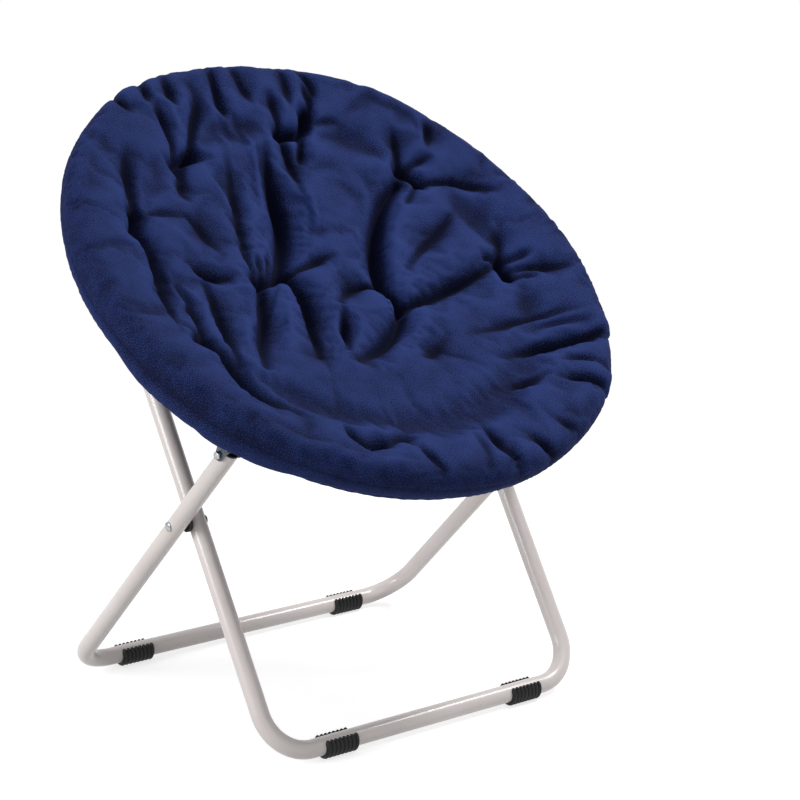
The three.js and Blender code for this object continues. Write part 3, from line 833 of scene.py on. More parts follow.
for side in sides:
    hinge_lug("front", -1, "ring_front", side)
    hinge_lug("rear", 1, "ring_rear", side)
    hinge_pin_piece(side)
print("hinge pins", round(2 * hinge_x / mm), "mm apart")

# %% [markdown]
# ## The shape of the cushion
# The cushion is a padded disc that dips in the middle, rolls over the ring and comes back underneath it to
# lie on the sling. Its cut from the middle outwards and back is one line, and turning that line round gives
# the whole closed surface. A flattened sphere could be sculpted into the same form, but it would not know
# its cover. The line's own length is kept: it says where a point lay before the cover was bent over the
# rim, and folds, seams and weave are all laid out on that flat cover.

# %% Cut of the cushion
seat_floor = -8 * mm
seat_rise = 61 * mm
seat_power = 2.1
roll_centre_r, roll_centre_n, roll_radius = 375.4 * mm, 29 * mm, 24 * mm
roll_start, roll_stop = radians(104), radians(-60)
hollow_radius = 16.3 * mm
hollow_angles = np.radians([30, 60, 90, 120, 145])
sling_radius = 358.4 * mm
sling_depth = 46 * mm
seat_rows, roll_rows, under_rows = 96, 26, 20
cushion_columns = 600


def sling_top(r):
    """Height of the sling: a shallow bowl, deepest in the middle."""
    return -sling_depth * (1 - (r / sling_radius) ** 2)


def cushion_cut():
    """Distance from the middle and height, from the seat's middle over the rim to the middle underneath.
    Seat height = floor + rise * (r / ring radius)^power; then the roll's circle, the tube's and the sling."""
    roll = np.linspace(roll_start, roll_stop, roll_rows)
    roll_r = roll_centre_r + roll_radius * np.cos(roll)
    seat_r = np.linspace(3 * mm, roll_r[0], seat_rows)[:-1]
    under_r = np.linspace(sling_radius - 6 * mm, 4 * mm, under_rows)
    r = np.concatenate([seat_r, roll_r, ring_radius + hollow_radius * np.cos(hollow_angles), under_r])
    n = np.concatenate([
        seat_floor + seat_rise * (seat_r / ring_radius) ** seat_power,
        roll_centre_n + roll_radius * np.sin(roll),
        hollow_radius * np.sin(hollow_angles),
        sling_top(under_r) + running_gap,
    ])
    return r, n


cut_r, cut_n = cushion_cut()
cover_length = np.concatenate([[0], np.cumsum(np.hypot(np.diff(cut_r), np.diff(cut_n)))]) + cut_r[0]
rim_row = seat_rows + roll_rows - 1
seam_length = cover_length[rim_row - 1]
print("cover from middle to rim seam:", round(seam_length / mm), "mm;", len(cut_r), "rows")

# %% Plain cushion and its flat cover
around = turns(cushion_columns)
out_r = np.gradient(cut_r)
out_n = np.gradient(cut_n)
cut_normal = np.stack([-out_n, out_r], axis=-1) / np.hypot(out_r, out_n)[:, None]


def turned_round(r, n):
    """Ring coordinates of a cut that is turned round: x = r cos(angle), s = r sin(angle), n."""
    return on_ring(r * np.cos(around), r * np.sin(around), n * np.ones_like(around))


plain = turned_round(cut_r[:, None], cut_n[:, None])
plain_normal = turned_round(cut_normal[:, :1], cut_normal[:, 1:]) - ring_centre
flat = cover_length[:, None, None] * np.stack([np.cos(around), np.sin(around)], axis=-1)
print("plain cushion:", round(2 * cut_r.max() / mm), "mm across,", cushion_columns, "columns")

# %% [markdown]
# ## Folds read from the photograph
# The folds of this seat are what it is recognised by: they run from the tufts to the rim, and no two are
# alike. Brushes could sculpt them, but a list can be corrected one fold at a time. Each fold is a short
# line of pixels. The camera is known, so the line can be laid on the plain cushion: the nearest point that
# faces the camera is taken, and moved by what is left over. A fold has a depth, a width, how much of its
# depth it has at its first and last point, and a lean that raises one of its sides.

# %% From pixels to the flat cover
def picture_places(points):
    """Pixels of chair points, and their distance in front of the camera.
    Pixel = half the picture + focal length * (right, -up) / distance."""
    seen = (points - camera_place) @ camera_axes().T
    away = -seen[..., 2:]
    sidewise = seen[..., :2] * [1, -1]
    return picture_pixels / 2 + focal_pixels * sidewise / away, away[..., 0]


plain_pixels, plain_away = picture_places(plain)
towards_camera = ((camera_place - plain) * plain_normal).sum(axis=-1)
facing = towards_camera > 0
facing[rim_row:] = False
near_pixels = 5
near_depth = 25 * mm
print(int(facing.sum()), "of", facing.size, "points of the cushion face the camera")


def lay_on_cover(pixel):
    """Place on the flat cover of the point that is seen at a pixel."""
    miss = np.linalg.norm(plain_pixels - pixel, axis=-1)
    miss[~facing] = np.inf
    close = miss < max(near_pixels, miss.min() + 1)
    front = plain_away[close].min() + near_depth
    miss[~close | (plain_away > front)] = np.inf
    row, column = np.unravel_index(np.argmin(miss), miss.shape)
    row = min(max(row, 1), rim_row - 1)
    after = (column + 1) % cushion_columns
    along = plain_pixels[row + 1, column] - plain_pixels[row - 1, column]
    beside = plain_pixels[row, after] - plain_pixels[row, column - 1]
    left_over = pixel - plain_pixels[row, column]
    steps = np.clip(np.linalg.lstsq(np.stack([along, beside], axis=-1), left_over, rcond=None)[0], -1, 1)
    moved = steps[0] * (flat[row + 1, column] - flat[row - 1, column])
    return flat[row, column] + moved + steps[1] * (flat[row, after] - flat[row, column - 1])


# %% Lines on the cover
def softened(track):
    """A line of points with its corners cut off twice, ends kept."""
    for _ in range(2):
        cut = np.stack([0.75 * track[:-1] + 0.25 * track[1:], 0.25 * track[:-1] + 0.75 * track[1:]], axis=1)
        track = np.vstack([track[:1], cut.reshape(-1, 2)[1:-1], track[-1:]])
    return track


def cover_track(pixels):
    """Line on the flat cover that is seen as a row of pixels."""
    return softened(np.array([lay_on_cover(np.array(pixel, float)) for pixel in pixels]))


# %% Stitched tufts
# depth and width in mm, then pixels
tuft_bars = {
    "back_left": (25, 11, [(177, 166), (184, 158), (193, 154)]),
    "far_left": (24, 11, [(137, 212), (139, 222), (139, 232)]),
    "back_middle": (24, 10, [(281, 132), (292, 133), (303, 131), (307, 122), (306, 114)]),
    "back_right": (22, 9, [(400, 169), (410, 174), (420, 183)]),
    "far_right": (22, 9, [(499, 258), (501, 265), (508, 275)]),
    "front_left": (24, 11, [(203, 338), (210, 342)]),
    "front": (20, 10, [(369, 442), (384, 441)]),
    "inner_left": (27, 11, [(260, 280), (272, 278), (281, 273), (288, 270)]),
    "inner_right": (27, 10, [(385, 286), (390, 292), (398, 300), (402, 305)]),
}
print(len(tuft_bars), "stitched tufts")

# %% Folds
# depth and width in mm, shares of the depth at both ends, lean, then pixels
fold_lines = [
    (11, 13, 1, 0, 0.3, [(177, 161), (172, 142), (165, 123), (157, 105), (150, 90)]),
    (13, 12, 1, 0.2, 0.5, [(192, 153), (193, 134), (197, 117), (199, 100), (191, 86)]),
    (13, 14, 1, 0, -0.2, [(184, 158), (182, 176), (184, 195), (195, 209)]),
    (10, 22, 0.2, 0.3, 0, [(180, 213), (199, 222), (213, 241), (222, 256)]),
    (14, 13, 1, 0, 0, [(138, 212), (132, 184), (128, 163), (125, 143)]),
    (16, 13, 1, 0.2, -0.4, [(138, 232), (146, 236), (153, 251), (163, 276), (172, 305), (181, 333)]),
    (7, 16, 0.8, 0.3, 0, [(140, 215), (164, 212), (182, 215)]),
    (10, 13, 1, 0, 0, [(282, 132), (276, 115), (271, 102), (266, 84)]),
    (9, 11, 0.5, 0.2, 0.4, [(282, 74), (288, 92), (291, 112)]),
    (10, 13, 1, 0, -0.3, [(306, 115), (311, 103), (306, 91), (296, 76)]),
    (13, 13, 1, 0.3, -0.5, [(282, 134), (287, 150), (295, 172), (300, 193)]),
    (12, 11, 1, 0, 0, [(303, 134), (301, 157), (304, 173)]),
    (7, 16, 1, 0, 0, [(307, 125), (324, 122), (345, 123)]),
    (11, 12, 0.2, 0.7, 0.3, [(220, 140), (226, 155), (232, 184), (238, 214), (245, 250), (257, 277)]),
    (9, 6, 0.2, 1, 0, [(236, 234), (245, 255), (254, 274)]),
    (8, 9, 0.3, 0.4, 0, [(167, 260), (184, 291), (206, 326)]),
    (28, 19, 1, 0.1, -0.5, [(281, 272), (286, 250), (287, 222), (279, 195), (268, 165), (263, 140)]),
    (12, 9, 1, 0, 0, [(266, 278), (260, 266), (255, 250)]),
    (12, 8, 1, 0, 0, [(272, 277), (270, 262), (268, 245)]),
    (14, 16, 1, 0, 0, [(287, 271), (299, 268), (318, 262), (340, 258)]),
    (17, 15, 1, 0.3, 0.3, [(262, 280), (264, 297), (268, 322), (264, 345), (266, 366)]),
    (24, 17, 1, 0.4, -0.3, [(289, 271), (304, 293), (316, 318), (322, 352)]),
    (15, 10, 0.2, 0.3, 0, [(342, 309), (346, 324), (350, 346)]),
    (14, 10, 0.2, 0.5, 0, [(190, 263), (203, 272), (213, 276), (228, 278)]),
    (17, 16, 0.4, 0.4, -0.3, [(206, 283), (220, 306), (231, 333), (243, 362)]),
    (13, 11, 1, 0.2, 0, [(207, 341), (219, 346), (232, 357), (243, 376)]),
    (12, 12, 1, 0.1, 0, [(207, 338), (199, 320), (189, 298), (183, 283)]),
    (20, 17, 0.3, 0.2, 0,
     [(184, 322), (198, 331), (212, 338), (228, 352), (242, 372), (256, 386), (275, 399), (300, 410)]),
    (28, 15, 0.8, 1, 0.4, [(400, 180), (388, 194), (381, 213), (377, 239), (378, 263), (383, 283)]),
    (12, 18, 1, 0, -0.3, [(400, 168), (396, 147), (391, 125)]),
    (12, 12, 0.3, 0.1, 0, [(408, 270), (424, 246), (440, 231), (458, 208)]),
    (8, 10, 0.3, 0.3, 0, [(157, 251), (168, 276), (176, 300)]),
    (11, 14, 1, 0, 0.4, [(404, 169), (422, 160), (434, 155)]),
    (9, 10, 0.2, 0, 0.5, [(427, 150), (428, 131), (424, 117)]),
    (10, 12, 1, 0, 0.3, [(421, 184), (443, 182), (469, 184), (506, 191)]),
    (9, 12, 1, 0, 0, [(416, 184), (411, 196), (402, 210)]),
    (20, 13, 1, 0.5, 0.3, [(403, 305), (430, 296), (445, 287), (464, 278), (484, 269), (498, 262)]),
    (10, 11, 1, 0, 0, [(496, 259), (489, 256), (478, 260)]),
    (11, 13, 1, 0, -0.3, [(499, 258), (498, 239), (489, 221)]),
    (9, 10, 1, 0, 0, [(501, 260), (517, 257), (536, 249)]),
    (9, 9, 1, 0, 0.3, [(504, 270), (535, 266), (577, 265)]),
    (8, 9, 1, 0, 0, [(508, 276), (545, 275)]),
    (14, 15, 1, 0.3, 0, [(382, 284), (361, 284), (348, 289), (340, 302)]),
    (22, 14, 1, 0.3, 0.3, [(402, 305), (402, 317), (396, 331), (380, 346), (362, 357)]),
    (8, 10, 0.2, 0.1, 0, [(468, 338), (488, 331), (505, 325), (522, 319), (560, 311), (594, 305)]),
    (6, 9, 0.2, 0.2, 0, [(512, 334), (540, 326), (572, 320), (600, 318)]),
    (17, 10, 0.1, 0.6, 0.5,
     [(499, 359), (511, 353), (524, 349), (543, 343), (568, 337), (588, 333), (604, 331)]),
    (11, 9, 0.3, 0, 0.4, [(545, 372), (534, 378), (523, 381), (512, 384), (500, 387)]),
    (12, 8, 0.2, 0.7, 0.4, [(562, 375), (574, 376), (586, 376), (595, 379), (603, 385)]),
    (6, 7, 0.2, 0.3, 0, [(556, 360), (575, 357), (592, 359), (605, 366)]),
    (10, 13, 0.3, 0.1, 0, [(447, 338), (436, 351), (415, 362)]),
    (11, 13, 1, 0.1, 0, [(369, 442), (357, 436), (343, 424)]),
    (9, 12, 1, 0, 0, [(384, 441), (404, 437), (426, 439)]),
    (9, 8, 0.2, 0.4, -0.4, [(483, 423), (495, 437), (508, 450), (514, 460)]),
    (8, 7, 0.1, 0.5, -0.4, [(504, 441), (514, 452), (521, 466)]),
    (9, 9, 0.1, 0.6, -0.4, [(527, 430), (541, 439), (550, 449), (556, 457)]),
    (5, 8, 0.2, 0.4, 0, [(470, 430), (484, 444), (492, 462)]),
    (5, 9, 0.2, 0.4, 0, [(414, 445), (432, 455), (446, 470)]),
    (5, 9, 0.2, 0.4, 0, [(552, 415), (568, 424), (580, 432)]),
    (8, 7, 0.6, 0, 0.3, [(113, 97), (124, 104), (134, 118)]),
    (8, 7, 0.6, 0, 0.3, [(137, 83), (148, 98), (152, 112)]),
    (8, 7, 0.6, 0, 0.3, [(165, 79), (172, 96), (176, 112)]),
    (9, 8, 0.6, 0, 0.3, [(212, 72), (221, 104), (233, 132)]),
    (7, 7, 0.6, 0, 0.3, [(234, 70), (247, 94), (255, 112)]),
    (8, 8, 0.6, 0, 0.3, [(300, 72), (314, 92), (319, 108)]),
]
print(len(fold_lines), "folds")

# %% Ridges
# height and width in mm, then pixels
ridge_lines = [
    (8, 9, [(297, 168), (306, 197), (315, 222), (308, 252)]),
    (6, 9, [(163, 92), (172, 112), (183, 142)]),
    (5, 8, [(284, 82), (291, 98), (296, 116)]),
    (4, 7, [(388, 130), (393, 148), (398, 163)]),
    (5, 7, [(418, 120), (421, 138), (420, 152)]),
    (4, 9, [(362, 192), (369, 212), (372, 230)]),
    (4, 9, [(352, 222), (359, 236), (366, 252)]),
    (6, 10, [(463, 223), (443, 228), (414, 249), (396, 272)]),
    (5, 6, [(489, 217), (496, 235), (498, 250)]),
    (5, 8, [(302, 293), (314, 314), (325, 337), (333, 354)]),
    (5, 13, [(275, 288), (284, 300), (290, 325), (290, 347)]),
    (4, 12, [(244, 288), (254, 310), (258, 335)]),
    (4, 7, [(222, 318), (232, 338), (240, 360)]),
    (5, 13, [(201, 161), (222, 195), (241, 222), (256, 251)]),
    (5, 12, [(157, 222), (184, 241), (203, 264)]),
    (7, 11, [(237, 114), (253, 152), (265, 203), (273, 236)]),
    (6, 9, [(206, 96), (221, 131), (231, 175), (240, 212)]),
    (5, 8, [(280, 139), (291, 167), (302, 192)]),
    (5, 9, [(168, 266), (186, 288), (203, 310)]),
    (4, 10, [(216, 98), (234, 130), (241, 157)]),
    (5, 9, [(146, 100), (160, 126), (170, 150)]),
]
print(len(ridge_lines), "ridges")

# %% Depth of the folds
fold_strength = 1.25
valley_round = 2 * mm
ridge_share = 0.24
ridge_strength = 1.3
ridge_reach = 1.9
ridge_ends = (0.12, 0.88)  # shares of a ridge's length outside of which it falls no further
darkest_depth = 16 * mm
crease_width = 5 * mm
tuft_circle = 284 * mm  # on the flat cover; the rim's padding bulges outside of it
tuft_circle_width = 27 * mm
tuft_circle_depth = 7 * mm


def nearest_on(track, places):
    """Distance to a line of points, share of its length at the nearest place, and on which side that is.
    For every stretch, along = offset . step / length^2, kept between 0 and 1; the nearest stretch counts."""
    steps = np.diff(track, axis=0)
    lengths = np.linalg.norm(steps, axis=1)
    begun = np.concatenate([[0], np.cumsum(lengths)[:-1]])
    best = np.full(len(places), np.inf)
    share = np.zeros(len(places))
    side = np.zeros(len(places))
    for corner, step, length, before in zip(track, steps, lengths, begun):
        offset = places - corner
        along = np.clip(offset @ step / length**2, 0, 1)
        away = offset - along[:, None] * step
        distance = np.linalg.norm(away, axis=1)
        closer = distance < best
        best[closer] = distance[closer]
        share[closer] = (before + along[closer] * length) / lengths.sum()
        side[closer] = np.sign(step[0] * away[closer, 1] - step[1] * away[closer, 0])
    return best, share, side


def eased(share):
    """0 to 1 with level ends."""
    share = np.clip(share, 0, 1)
    return share * share * (3 - 2 * share)


def fold_depth(track, places, depth, width, first, last, lean):
    """Valley = depth * exp(-distance / width), with a rounded bottom; ridges stand beside it and fall away.
    The third result says how strongly the crease is pinched in and how dark it is painted, as painted shade."""
    distance, share, side = nearest_on(track, places)
    first_part = 1 - (1 - first) * eased(1 - 2 * share)
    last_part = 1 - (1 - last) * eased(2 * share - 1)
    strength = depth * first_part * last_part
    rounded = np.sqrt(distance**2 + valley_round**2) - valley_round
    reach = distance / (ridge_reach * width)
    ridge = ridge_share * strength * (1 + lean * side) * reach * np.exp(1 - reach)
    # painted shade of the crease, darkest on its middle line; the same value also pinches the cloth in
    crease = np.minimum(strength / darkest_depth, 1) * np.exp(-((distance / crease_width) ** 2))
    return strength * np.exp(-rounded / width), ridge, crease


# %% All folds together
def all_folds(places):
    """Height of all folds together, and the darkest crease, which is pinched in and painted dark as painted
    shade.
    Valleys join by the fourth root of the sum of fourth powers, so that crossings are not twice as deep."""
    valleys = np.zeros(len(places))
    ridges = np.zeros(len(places))
    creases = np.zeros(len(places))
    bars = [(depth, width, 1, 1, 0, track) for depth, width, track in tuft_bars.values()]
    for depth, width, first, last, lean, pixels in bars + fold_lines:
        deepest = fold_strength * depth * mm
        track = cover_track(pixels)
        valley, ridge, crease = fold_depth(track, places, deepest, width * mm, first, last, lean)
        valleys += valley**4
        ridges += ridge**3
        creases = np.maximum(creases, crease)
    for height, width, pixels in ridge_lines:
        distance, share, _ = nearest_on(cover_track(pixels), places)
        near = np.exp(-((distance / (width * mm)) ** 2))
        swell = ridge_strength * height * mm * near * np.sin(pi * np.clip(share, *ridge_ends))
        ridges += swell**3
    from_tufts = (np.linalg.norm(places, axis=-1) - tuft_circle) / tuft_circle_width
    valleys += (tuft_circle_depth * np.exp(-(from_tufts**2))) ** 4
    return ridges ** (1 / 3) - valleys**0.25, creases


seat_part = flat[: rim_row + 1].reshape(-1, 2)
raised, creased = np.zeros((2, *plain.shape[:2]))
for values, seat_values in zip((raised, creased), all_folds(seat_part)):
    values[: rim_row + 1] = seat_values.reshape(rim_row + 1, -1)
print("folds from", round(raised.min() / mm, 1), "to", round(raised.max() / mm, 1), "mm")

# %% [markdown]
# ## Filling and slack cloth
# Formulas give the large folds, but between them real cloth is a little too long for the padding and
# buckles. The cloth solver adds that. A square grid is laid over the flat cover and carried to the cushion,
# blown up from below while its cloth grows by a few hundredths, and held where it is sewn. Only the
# movement is kept, capped and carried back. Displacement by a noise texture would be quicker, but its bumps
# ignore the tufts.

# %% Between the round grid and a square one
cloth_cell = 6.5 * mm
cover_margin = 2 * mm
cloth_half = int(seam_length / cloth_cell)
cloth_line = np.arange(-cloth_half, cloth_half + 1) * cloth_cell
cloth_flat = np.stack(np.meshgrid(cloth_line, cloth_line, indexing="ij"), axis=-1)
cloth_length = np.linalg.norm(cloth_flat, axis=-1)
on_cover = cloth_length < seam_length - cover_margin
print("square grid:", cloth_half * 2 + 1, "points each way,", int(on_cover.sum()), "of them on the cover")


def sampled(values, row, column, wrap):
    """Values of a grid at fractional rows and columns, mixed from the four neighbours."""
    row = np.clip(row, 0, len(values) - 1.001)
    low_row, low_column = np.floor(row).astype(int), np.floor(column).astype(int)
    row_share, column_share = (row - low_row)[..., None], (column - low_column)[..., None]
    width = values.shape[1]
    near, far = (low_column % width, (low_column + 1) % width) if wrap else (low_column, low_column + 1)
    first = values[low_row, near] * (1 - column_share) + values[low_row, far] * column_share
    second = values[low_row + 1, near] * (1 - column_share) + values[low_row + 1, far] * column_share
    return first * (1 - row_share) + second * row_share


def to_square(values):
    """Values of the round grid at the square grid's places."""
    row = np.interp(cloth_length, cover_length, np.arange(len(cover_length)))
    column = np.arctan2(cloth_flat[..., 1], cloth_flat[..., 0]) / (2 * pi) * cushion_columns
    return sampled(values, row, column, True)


def to_round(values):
    """Values of the square grid at the round grid's places, up to the rim's seam."""
    places = np.clip(flat[:rim_row] / cloth_cell + cloth_half, 0, 2 * cloth_half - 0.001)
    return sampled(values, places[..., 0], places[..., 1], False)


# %% Cloth simulation
cloth_steps = 20
cloth_growth = 0.035
cloth_pressure = 4
cloth_bending = 0.3
hold_grades = 20


def slack_cloth(points, holds):
    """An open grid of cloth with a group that holds each point by its share in holds, in a few grades."""
    rows, columns = points.shape[:2]
    faces = quads_between(rows, columns, False, False)
    faces = faces[on_cover.ravel()[faces].all(axis=1)]
    mesh = bpy.data.meshes.new("slack_cloth")
    mesh.from_pydata(points.reshape(-1, 3).tolist(), [], faces[:, ::-1].tolist())
    cloth = bpy.data.objects.new("slack_cloth", mesh)
    bpy.context.scene.collection.objects.link(cloth)
    group = cloth.vertex_groups.new(name="held")
    grades = np.round(holds.ravel() * hold_grades).astype(int)
    for grade in np.unique(grades):
        group.add(np.flatnonzero(grades == grade).tolist(), grade / hold_grades, "REPLACE")
    return cloth


def moves_of_slack_cloth(points, holds):
    """How far every point moves while the cloth grows and the filling presses from below."""
    cloth = slack_cloth(points, holds)
    solver = cloth.modifiers.new("filling", "CLOTH")
    solver.settings.vertex_group_mass = "held"
    solver.settings.pin_stiffness = 1
    solver.settings.use_pressure = True
    solver.settings.uniform_pressure_force = cloth_pressure
    solver.settings.shrink_min = -cloth_growth
    solver.settings.bending_stiffness = cloth_bending
    solver.settings.effector_weights.gravity = 0
    solver.point_cache.frame_end = cloth_steps
    for step in range(1, cloth_steps + 1):
        bpy.context.scene.frame_set(step)
    after = cloth.evaluated_get(bpy.context.evaluated_depsgraph_get()).data
    moved = np.empty(len(after.vertices) * 3, np.float32)
    after.vertices.foreach_get("co", moved)
    bpy.data.objects.remove(cloth)
    bpy.context.scene.frame_set(1)
    return moved.reshape(points.shape) - points


# %% [markdown]
# ## Seam, skirt and filling of the rim
# The cover ends in a gathered seam under the rim. A skirt comes down from it, longest over the ring hinges
# and the front brackets, which it hides, and the filling is thicker in some places of the rim than in
# others. All of this could be sculpted by hand. Here each part is a height or a shift that depends only on
# the place round the rim and the length along the cover, so each can be changed without the others.

# %% Rim gathers
seam_depth = 2.2 * mm
seam_width = 3.5 * mm
seam_fade = 34 * mm
pillow_rise = -2.5 * mm  # the filling raises it again
gather_height = 0.6 * mm
gather_reach = 22 * mm
gather_crest = 0.3  # where the crests of the waves are cut off
gather_waves = [(0.4, 47, 0.4), (0.25, 71, 2.0), (0.5, 29, 4.1)]  # share, waves round the rim, phase
from_seam = np.abs(cover_length - seam_length)[:, None]
fades_at_seam = eased((seam_length - cover_length) / seam_fade)[:, None]
raised = (raised + pillow_rise) * fades_at_seam
gathers = sum(share * np.sin(count * around + phase) for share, count, phase in gather_waves)
above_ring = (cut_n > 0)[:, None]
raised += gather_height * np.minimum(gathers, gather_crest) * np.exp(-from_seam / gather_reach) * above_ring
raised -= seam_depth * np.exp(-from_seam / seam_width)
print("gathers of", round(gather_height / mm, 1), "mm beside a seam", round(seam_depth / mm, 1), "mm deep")

# %% Skirt of the rim
skirt_everywhere = 0.45
skirt_reach = 32 * mm  # on both sides of a hinge and of a front bracket, which the rim hides
skirt_fade = 70 * mm
skirt_begin = radians(20)  # on the roll's circle
skirt_span = radians(80)
skirt_stop = radians(-50)  # on the circle round the tube
skirt_thickness = 3.5 * mm
outward = np.cos(around)[:, None] * [1, 0, 0] + np.sin(around)[:, None] * slope
front_joint, _, front_leg_x = fixings["front"]
bracket_angle = atan2(bolt_place(front_joint), front_leg_x)
hidden = np.array([hinge_angle, pi - hinge_angle, bracket_angle, pi - bracket_angle])
from_hidden = np.abs((around - hidden[:, None] + pi) % (2 * pi) - pi).min(axis=0) * ring_radius
at_hidden = 1 - eased((from_hidden - skirt_reach) / skirt_fade)
skirt_share = skirt_everywhere + (1 - skirt_everywhere) * at_hidden
# the roll moves by lowered * (skirt's edge - roll's end), the rows after it are spread round the tube again
skirt_r, skirt_n = np.zeros((2, len(cut_r)))
lowered = eased((skirt_begin - np.linspace(roll_start, roll_stop, roll_rows)) / skirt_span)
skirt_edge = hollow_radius + skirt_thickness
roll_part = slice(rim_row - roll_rows, rim_row)
skirt_r[roll_part] = lowered * (ring_radius + skirt_edge * cos(skirt_stop) - cut_r[rim_row - 1])
skirt_n[roll_part] = lowered * (skirt_edge * sin(skirt_stop) - cut_n[rim_row - 1])
round_tube = np.linspace(skirt_stop, hollow_angles[-1], len(hollow_angles))
hollow_part = slice(rim_row, rim_row + len(hollow_angles))
skirt_r[hollow_part] = ring_radius + hollow_radius * np.cos(round_tube) - cut_r[hollow_part]
skirt_n[hollow_part] = hollow_radius * np.sin(round_tube) - cut_n[hollow_part]
print("skirt lowers the rim's edge by up to", round(-skirt_n.min() / mm, 1), "mm")

# %% Uneven filling of the rim
# pixel across and down, height in mm, reach in pixels; swell = height * exp(-(distance / reach)^2)
rim_swells = [
    (118, 95, 4, 25), (225, 66, -4, 60), (378, 92, 7, 50), (490, 160, -4, 60), (604, 398, 6, 45),
    (415, 498, -2, 60), (62, 213, -3, 60), (210, 437, 4, 25),
]
rows_to_widest = 16
swell_width = 130 * mm
widest_row = rim_row - roll_rows + rows_to_widest
rim_pixels = picture_places(plain[widest_row])[0]
swollen = np.zeros(cushion_columns)
for across_picture, down_picture, height, reach in rim_swells:
    apart = np.linalg.norm(rim_pixels - [across_picture, down_picture], axis=-1)
    swollen += height * mm * np.exp(-((apart / reach) ** 2))
swell_share = eased(1 - (seam_length - cover_length) / swell_width)
swell_share[rim_row:] = 0
print("the filling moves the rim by", round(swollen.min() / mm, 1), "to", round(swollen.max() / mm, 1), "mm")

# %% Cushion with its slack cloth
largest_move = 8 * mm
sewn_depth = 12 * mm  # a fold that is this deep is held fast
rim_hold = 75 * mm
# new place = plain place + height of the folds along the normal + movement of the slack cloth
cushion_grid = plain + raised[..., None] * plain_normal
sewn = np.clip(-to_square(raised[..., None])[..., 0] / sewn_depth, 0, 1) ** 2
at_rim = eased(1 - (seam_length - cloth_length) / rim_hold)
moves = moves_of_slack_cloth(to_square(cushion_grid), np.maximum(sewn, at_rim))
length = np.linalg.norm(moves, axis=-1, keepdims=True)
print("cloth moved by up to", round(length.max() / mm, 1), "mm, on average", round(length.mean() / mm, 1))
moves *= on_cover[..., None] * largest_move * np.tanh(length / largest_move) / np.maximum(length, 1e-9)
cushion_grid[:rim_row] += to_round(moves)

# %% Cushion mesh
crease_depth = 3.5 * mm  # pinched in again, because the filling opens the narrow lines
rim_seam_width = 1.5 * mm
rim_seam_depth = 1.1 * mm
rim_seam_shade = 0.4
# creases and the seam go in along the normal, swells go out along it, and the skirt moves outward and down
cushion_grid -= crease_depth * (creased * fades_at_seam)[..., None] * plain_normal
rim_seam = np.exp(-(((cover_length - cover_length[widest_row]) / rim_seam_width) ** 2))[:, None]
cushion_grid -= rim_seam_depth * rim_seam[..., None] * plain_normal
# painted shade along the rim seam joins the painted shade of the creases
creased = np.maximum(creased * fades_at_seam, rim_seam_shade * rim_seam)
cushion_grid += (swell_share[:, None] * swollen)[..., None] * plain_normal
cushion_grid += skirt_share[:, None] * (skirt_r[:, None, None] * outward + skirt_n[:, None, None] * square)
cushion = skin("seat_cushion_quilted", cushion_grid)


def lay_out(piece, places, middles=((0, 0), (0, 0))):
    """Stores a flat layout of the cloth in metres, one place for each point, as the piece's UV map."""
    layer = piece.data.uv_layers.new(name="cloth")
    number = np.empty(len(piece.data.loops), int)
    piece.data.loops.foreach_get("vertex_index", number)
    every = np.vstack([places.reshape(-1, 2), middles])
    layer.data.foreach_set("uv", every[number].astype(np.float32).ravel())


lay_out(cushion, flat)
print("cushion of", len(cushion.data.vertices), "points")

# %% Painted light and shade of crests and creases
# crests are painted lighter and hollows darker, as painted light and shade, by their height above the mean
# within this reach
crest_reach = 26 * mm
crest_height = 7 * mm
mean_cells = 10


def local_mean(values):
    """Mean on the square grid, in which a neighbour counts for exp(-(distance / reach)^2)."""
    offsets = np.arange(-mean_cells, mean_cells + 1) * cloth_cell
    weights = np.exp(-((offsets / crest_reach) ** 2))
    for axis in (0, 1):
        values = np.apply_along_axis(np.convolve, axis, values, weights / weights.sum(), "same")
    return values


def store(piece, name, values):
    """A number for every point of a piece, which its finish can read; the two middles get 0."""
    layer = piece.data.attributes.new(name, "FLOAT", "POINT")
    layer.data.foreach_set("value", np.append(values.ravel(), [0, 0]).astype(np.float32))


heights = to_square(((cushion_grid - plain) * plain_normal).sum(axis=-1, keepdims=True))[..., 0]
crest = np.zeros(plain.shape[:2])
crest[:rim_row] = to_round(np.clip((heights - local_mean(heights)) / crest_height, -1, 1)[..., None])[..., 0]
crest *= fades_at_seam
# painted shade of the creases, and painted light and shade of crests and hollows, for the finish to read
store(cushion, "crease", creased)
store(cushion, "crest", crest)
print("crest numbers from", round(crest.min(), 2), "to", round(crest.max(), 2))

# %% [markdown]
# ## Navy twill
# Fine slanting ribs, a speckle of lighter fibres and a soft sheen at grazing angles. The pattern lies on
# the cloth's flat layout, so it runs over the rim and into the folds as woven cloth does. A picture of
# cloth could lie there too, but it would repeat. Crests are painted lighter and hollows darker, as painted
# light and shade, and the pinched line of a fold is painted darkest, as painted shade.

# %% Twill
# painted shade: the colour that the pinched lines of folds and the rim seam are darkened to
crease_shade_colour = to_linear(6, 9, 28)
# how far the painted light and shade of crests and hollows moves the tone
crest_shading_share = 0.3
rib_strength = 0.5
speckle_strength = 0.38


